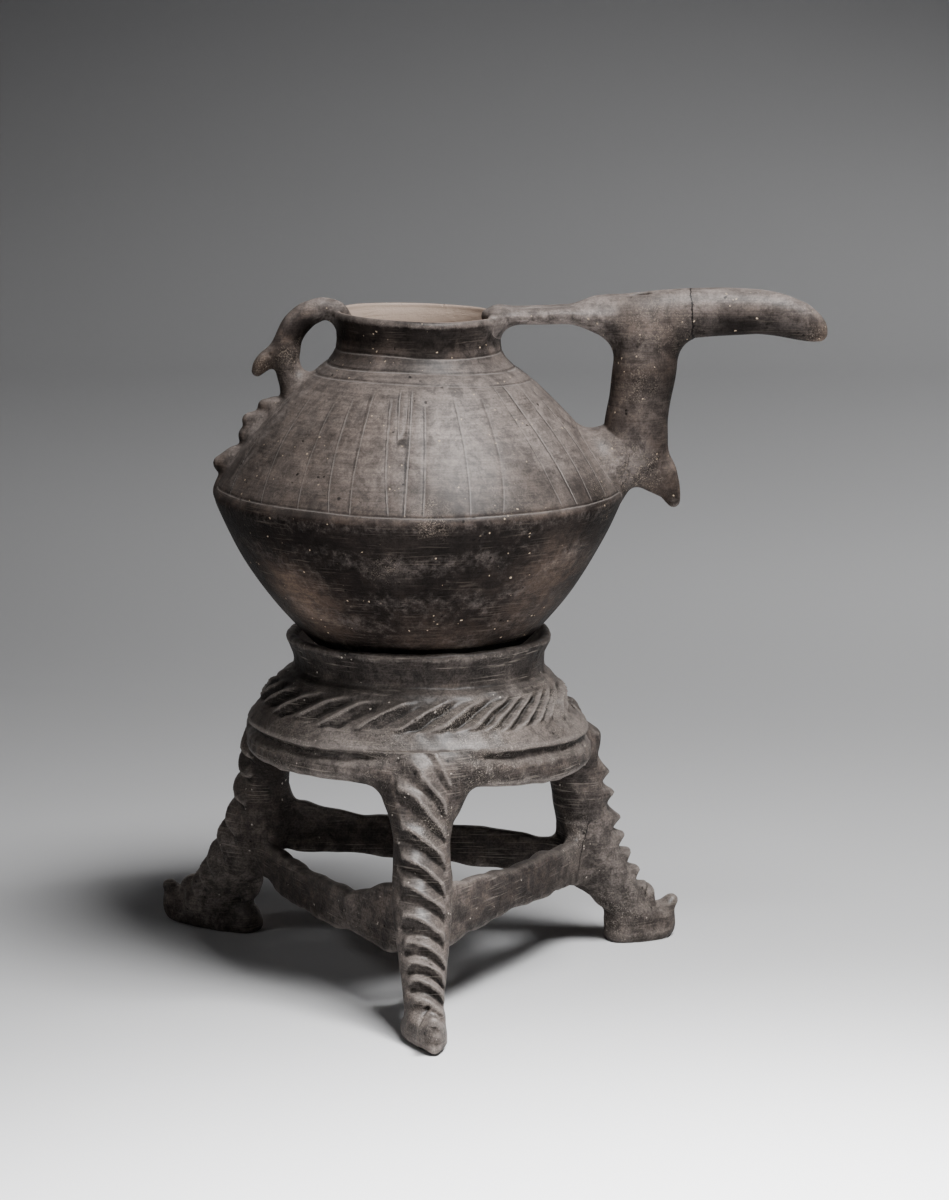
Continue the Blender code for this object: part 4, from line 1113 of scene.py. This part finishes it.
def makeClay(name, tones, cracks=(), lined=False):
    # burnished clay: base and dark by the clouds, brown where it is marked, soot and painted shade below and
    # soot in blotches, then pale marks (some of them painted light), dust and painted light where it faces
    # up, painted light on the upper flanks, and smoke marks (some of them painted shade); shaded by strokes
    # and grain, and by painted shade in the hollows and on the lower flanks; rubbed edges, crust, flecks and
    # pits; last the scratched lines with their painted light and shade, and the cracks. Only what faces
    # up has the sheen of a coat
    made = bpy.data.materials.new(name)
    made.use_nodes = True
    tree = made.node_tree
    shader = tree.nodes["Principled BSDF"]

    def mask(key):
        settings = {"attribute_type": "GEOMETRY", "attribute_name": key}
        return addNode("ShaderNodeAttribute", settings, tree=tree).outputs["Fac"]

    def cover(colour, share, amount, tone):
        return blendColour(times(share, amount), colour, tones[tone])

    place = useGroup("place", tree=tree)["Place"]
    clouds = useGroup("clouds", {"Place": place})
    strokes = useGroup("strokes", {"Place": place})
    flecks = useGroup("flecks", {"Place": place, "Size": tones["fleckSize"], "Amount": tones["flecks"]})
    up, smoke, brown, pale, crusty = [mask(key) for key in ("up", "smoke", "brown", "pale", "crust")]
    wear = useGroup("wear", {"Place": place, "Edge": mask("edge"), "Up": up, "Flank": mask("flank")})
    colour = blendColour(rise(clouds["Wide"], 0.34, 0.64), tones["dark"], tones["base"])
    colour = cover(colour, rise(clouds["Patchy"], 0.42, 0.66), 0.55, "brown")
    colour = cover(colour, brown, rise(clouds["Patchy"], 0.30, 0.55, 0.45, 1.0), "brown")
    cloudy = times(rise(clouds["Wide"], 0.72, 0.50, 0.90, 1.0), timesPlus(brown, -0.80, 1.0))
    # what faces down takes the smoke tone: soot, and painted shade under the body; then soot in blotches too
    soot = times(rise(up, 0.35, -0.25, 0.0, tones["underDark"]), cloudy)
    soot = maths("MAXIMUM", soot, rise(clouds["Blotch"], 0.46, 0.30, 0.0, tones["blotches"]))
    colour = blendColour(soot, colour, tones["smoke"])
    colour = cover(colour, pale, rise(clouds["Patchy"], 0.35, 0.60, 0.35, 0.85), "pale")
    # dust, and painted light, where the surface faces up
    colour = cover(colour, wear["Dust"], tones["dust"], "pale")
    # painted light on the upper flanks of the relief
    colour = cover(colour, wear["Upper"], tones["upper"], "pale")
    # smoke marks: dark clouds of the firing, and painted shade under the lip, the beak, the jar and the ledge
    colour = cover(colour, times(smoke, cloudy), 0.85, "smoke")
    shade = rise(strokes["Level"], 0.30, 0.70, 0.80, 1.18)
    # the last two darken the hollows and the lower flanks of the relief: painted shade
    for value, low, high, least, most in [
            (clouds["Grain"], 0.32, 0.68, *tones["speckle"]), (clouds["Patchy"], 0.34, 0.62, 0.74, 1.20),
            (wear["Dirt"], 0.0, 1.0, 1.0, tones["dirt"]), (wear["Lower"], 0.0, 1.0, 1.0, tones["lower"])]:
        shade = times(shade, rise(value, low, high, least, most))
    tone = addNode("ShaderNodeCombineColor", None, {"Red": shade, "Green": shade, "Blue": shade}).outputs["Color"]
    colour = blendColour(1.0, colour, tone, "MULTIPLY")
    colour = cover(colour, wear["Rubbed"], tones["rubbed"], "pale")
    colour = cover(colour, times(wear["Rubbed"], flecks["Crust"]), tones["rubbed"], "crust")
    colour = cover(colour, strokes["Scratches"], tones["scratches"], "crust")
    crust = times(flecks["Crust"], rise(crusty, 0.0, 0.8, tones["crustAll"], 0.9))
    colour = blendColour(crust, colour, tones["crust"])
    colour = blendColour(flecks["Flecks"], colour, tones["fleck"])
    colour = cover(colour, flecks["Pits"], 0.8, "gap")
    height = times(strokes["Level"], 0.10)
    for value, amount in [(clouds["Grain"], tones["grain"]), (clouds["Patchy"], tones["lumps"]), (crust, 0.25),
                          (flecks["Pits"], -0.5), (strokes["Scratches"], -0.12)]:
        height = timesPlus(value, amount, height)
    rough = rise(clouds["Patchy"], 0.35, 0.65, tones["gloss"], tones["gloss"] + 0.10)
    for value, amount in [(wear["Upper"], -0.08), (crust, 0.25)]:
        rough = timesPlus(value, amount, rough)
    if lined:
        values = {"Place": place, "Cosine": mask("lineCos"), "Sine": mask("lineSin"),
                  "Step": mask("lineStep"), "Deep": mask("lineDeep")}
        values.update({key: mask(key) for key in jarBody["ringLines"]})
        lines = useGroup("lines", values)
        # the dark sides are painted shade; the pale lines are pale dust and painted light
        for key, amount, tone in (("Shadows", 0.75, "gap"), ("Lines", 0.70, "line")):
            colour = cover(colour, lines[key], amount, tone)
            height = timesPlus(lines[key], -0.20, height)
        colour = cover(colour, mask("inside"), 0.85, "mouth")
    for point, across, reach, width, amount in cracks:
        crack = useGroup("crack", {
            "Place": place, "Point": point, "Across": across, "Reach": reach, "Width": width})["Crack"]
        colour = cover(colour, crack, amount, "gap")
        height = timesPlus(crack, -0.5 * amount, height)
    bump = addNode("ShaderNodeBump", None, {"Height": height, "Strength": 1.0, "Distance": 0.001})
    for key, value in {"Base Color": colour, "Roughness": rough, "Normal": bump.outputs["Normal"],
                       "Coat Weight": rise(up, -0.05, 0.50, 0.0, tones["coat"])}.items():
        tree.links.new(value, shader.inputs[key])
    shader.inputs["Coat Roughness"].default_value = tones["coatRough"]
    shader.inputs["Specular IOR Level"].default_value = tones["shine"]
    return made


jarTable = distanceTable(jarSection(), (20, 240), (132, 384))
ringTable = distanceTable(ringSection(), (40, 90), (112, 192))
print("tables, %.0f s" % (time.time() - started))
jarPieces = [buildJarBody(), buildSpout(jarTable), buildHandle(jarTable)]
standPieces = [buildRing(), buildLegs(ringTable)]

# the smoke tone is also painted shade. Of the amounts, the one for what faces down sets soot and painted shade, the
# one for what faces up dust and painted light, and those for the upper flanks, the hollows and the lower flanks
# painted light and painted shade
jarTones = {
    "base": (0.070, 0.055, 0.048, 1), "dark": (0.036, 0.029, 0.027, 1), "brown": (0.094, 0.066, 0.050, 1),
    "smoke": (0.0050, 0.0038, 0.0034, 1), "pale": (0.200, 0.171, 0.157, 1), "crust": (0.32, 0.26, 0.21, 1),
    "fleck": (0.42, 0.33, 0.24, 1), "line": (0.24, 0.215, 0.20, 1), "mouth": (0.48, 0.37, 0.30, 1),
    "gap": (0.006, 0.005, 0.005, 1),
    "underDark": 0.97, "dust": 0.54, "rubbed": 0.45, "upper": 0.35, "dirt": 0.5, "lower": 0.55, "blotches": 0.60,
    "speckle": (0.78, 1.24), "scratches": 0.10, "crustAll": 0.015, "flecks": 0.40, "fleckSize": 1.6,
    "grain": 0.16, "lumps": 0.6, "gloss": 0.46, "shine": 0.03, "coat": 0.40, "coatRough": 0.46,
}
standTones = {
    "base": (0.074, 0.060, 0.054, 1), "dark": (0.038, 0.031, 0.029, 1), "brown": (0.105, 0.078, 0.062, 1),
    "smoke": (0.011, 0.0092, 0.0085, 1), "pale": (0.180, 0.156, 0.142, 1), "crust": (0.42, 0.365, 0.315, 1),
    "fleck": (0.42, 0.37, 0.32, 1), "gap": (0.006, 0.005, 0.005, 1),
    "underDark": 0.78, "dust": 0.46, "rubbed": 0.60, "upper": 0.56, "dirt": 0.34, "lower": 0.55, "blotches": 0.55,
    "speckle": (0.64, 1.40), "scratches": 0.30, "crustAll": 0.035, "flecks": 0.30, "fleckSize": 1.7,
    "grain": 0.26, "lumps": 1.5, "gloss": 0.48, "shine": 0.06, "coat": 0.38, "coatRough": 0.36,
}
# breaks: a point on each, the direction across it, how far it runs, half its width, strength
beakCrack = [((145.5, 0, 362), (1, 0, 0.04), 16.5, 0.42, 0.9)]
standCracks = [
    ((-76, -28, 62), (0.95, -0.25, 0.1), 24, 0.35, 0.8), ((86, 36, 60), (0.7, 0.7, -0.3), 16, 0.4, 0.8),
    ((2, -70, 176), (0.83, 0, 0.55), 11, 0.20, 0.4), ((17, -68, 176), (0.85, 0, -0.5), 9, 0.20, 0.4)]
groups = {"place": makePlaceGroup(), "clouds": makeClouds(), "strokes": makeStrokes(), "flecks": makeFlecks(),
          "wear": makeWear(), "lines": makeLines(), "crack": makeCrack()}
clays = {
    "jar_body": makeClay("burnished clay with scratched lines", jarTones, lined=True),
    "spout": makeClay("burnished clay", jarTones, beakCrack),
    "ring": makeClay("worn clay", standTones, standCracks),
}
clays["handle"] = clays["spout"]
clays["legs"] = clays["ring"]
for piece in jarPieces + standPieces:
    piece.data.materials.append(clays[piece.name])
    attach(piece, "root")
for piece in jarPieces:
    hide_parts("spouted_jar")
for piece in standPieces:
    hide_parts("tripod_stand")
print("clay, %.0f s" % (time.time() - started))


# in metres; powers in watts
studio = {
    # from the turning axis: back to where the floor starts to bend up, the bend's radius, how far
    # the floor comes forward and to either side, the top of the wall
    "back": 2.60, "bend": 1.00, "ahead": 9.0, "side": 9.0, "top": 3.6,
    "paper": (0.75, 0.75, 0.76, 1),
    # kind, place, what it points at, power, and its two sides or the angle of its cone
    "lights": {
        "overhead": ("AREA", (0.44, -0.50, 1.31), (0.54, -0.77, 0.35), 42, (0.66, 0.66)),
        "back": ("AREA", (-0.2, 2.1, 0.8), (0.0, 0.0, 0.17), 48, (1.6, 0.9)),
        "left": ("SPOT", (-1.3, -0.7, 1.2), (0.0, 0.0, 0.17), 9, 26),
        "ahead": ("SPOT", (0.57, -0.45, 1.39), (0.18, -0.70, 0.0), 500, 51.5),
        "behind": ("SPOT", (2.18, 1.00, 2.23), (1.12, 1.68, 0.66), 163, 62)},
    "spotBlend": 0.8,  # how softly a cone ends
    "spotRadius": 0.2,
    "world": (0.30, 0.31, 0.33, 1),
    "worldStrength": 0.02,
}
# the camera as fitted to the photo: right of the turning axis, in front of it, up from the floor;
# degrees down; focal length and picture width, both in pixels
view = {"place": (0.0300, -2.0, 0.5845), "down": 10.73, "focal": 3762.2, "width": 949, "sensor": 36}


def makeFloor():
    # a pale sheet: flat, then a quarter round up into the wall behind
    bend = np.linspace(0, math.pi / 2, 40)
    back, radius = studio["back"], studio["bend"]
    y = np.concatenate([[-studio["ahead"]], back + radius * np.sin(bend), [back + radius]])
    z = np.concatenate([[0], radius - radius * np.cos(bend), [studio["top"]]])
    x = np.array([-studio["side"], studio["side"]])
    places = np.stack([np.repeat(x, len(y)), np.tile(y, 2), np.tile(z, 2)], axis=1)
    row = np.arange(len(y) - 1)
    faces = np.stack([row, row + len(y), row + len(y) + 1, row + 1], axis=1)
    mesh = bpy.data.meshes.new("floor")
    mesh.from_pydata(places, [], faces.tolist())
    mesh.polygons.foreach_set("use_smooth", np.ones(len(mesh.polygons), bool))
    paper = bpy.data.materials.new("paper")
    paper.use_nodes = True
    shader = paper.node_tree.nodes["Principled BSDF"]
    shader.inputs["Base Color"].default_value = studio["paper"]
    shader.inputs["Roughness"].default_value = 0.9
    mesh.materials.append(paper)
    floor = bpy.data.objects.new("floor", mesh)
    bpy.context.scene.collection.objects.link(floor)


def makeLight(name, kind, place, target, power, size):
    lamp = bpy.data.lights.new(name, kind)
    lamp.energy = power
    if kind == "AREA":
        lamp.shape = "RECTANGLE"
        lamp.size, lamp.size_y = size
    else:
        lamp.spot_size = math.radians(size)
        lamp.spot_blend = studio["spotBlend"]
        lamp.shadow_soft_size = studio["spotRadius"]
    item = bpy.data.objects.new(name, lamp)
    item.location = place
    item.rotation_euler = (Vector(target) - Vector(place)).to_track_quat("-Z", "Y").to_euler()
    bpy.context.scene.collection.objects.link(item)
    return item


def makeCamera():
    lens = bpy.data.cameras.new("camera")
    lens.sensor_fit = "HORIZONTAL"
    lens.sensor_width = view["sensor"]
    lens.lens = view["sensor"] * view["focal"] / view["width"]
    camera = bpy.data.objects.new("camera", lens)
    camera.location = axisPlace + view["place"]
    camera.rotation_euler = (math.radians(90 - view["down"]), 0, 0)
    bpy.context.scene.collection.objects.link(camera)
    bpy.context.scene.camera = camera


makeFloor()
lights = {name: makeLight(name, *settings) for name, settings in studio["lights"].items()}
# the light at the back falls on the object alone, and is not mirrored in it
lit = bpy.data.collections.new("lit from the back")
for piece in jarPieces + standPieces:
    lit.objects.link(piece)
lights["back"].light_linking.receiver_collection = lit
lights["back"].visible_glossy = False
world = bpy.data.worlds.new("studio")
world.use_nodes = True
sky = world.node_tree.nodes["Background"].inputs
sky["Color"].default_value = studio["world"]
sky["Strength"].default_value = studio["worldStrength"]
bpy.context.scene.world = world
makeCamera()

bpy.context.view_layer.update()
print("whole scene, %.0f s" % (time.time() - started))
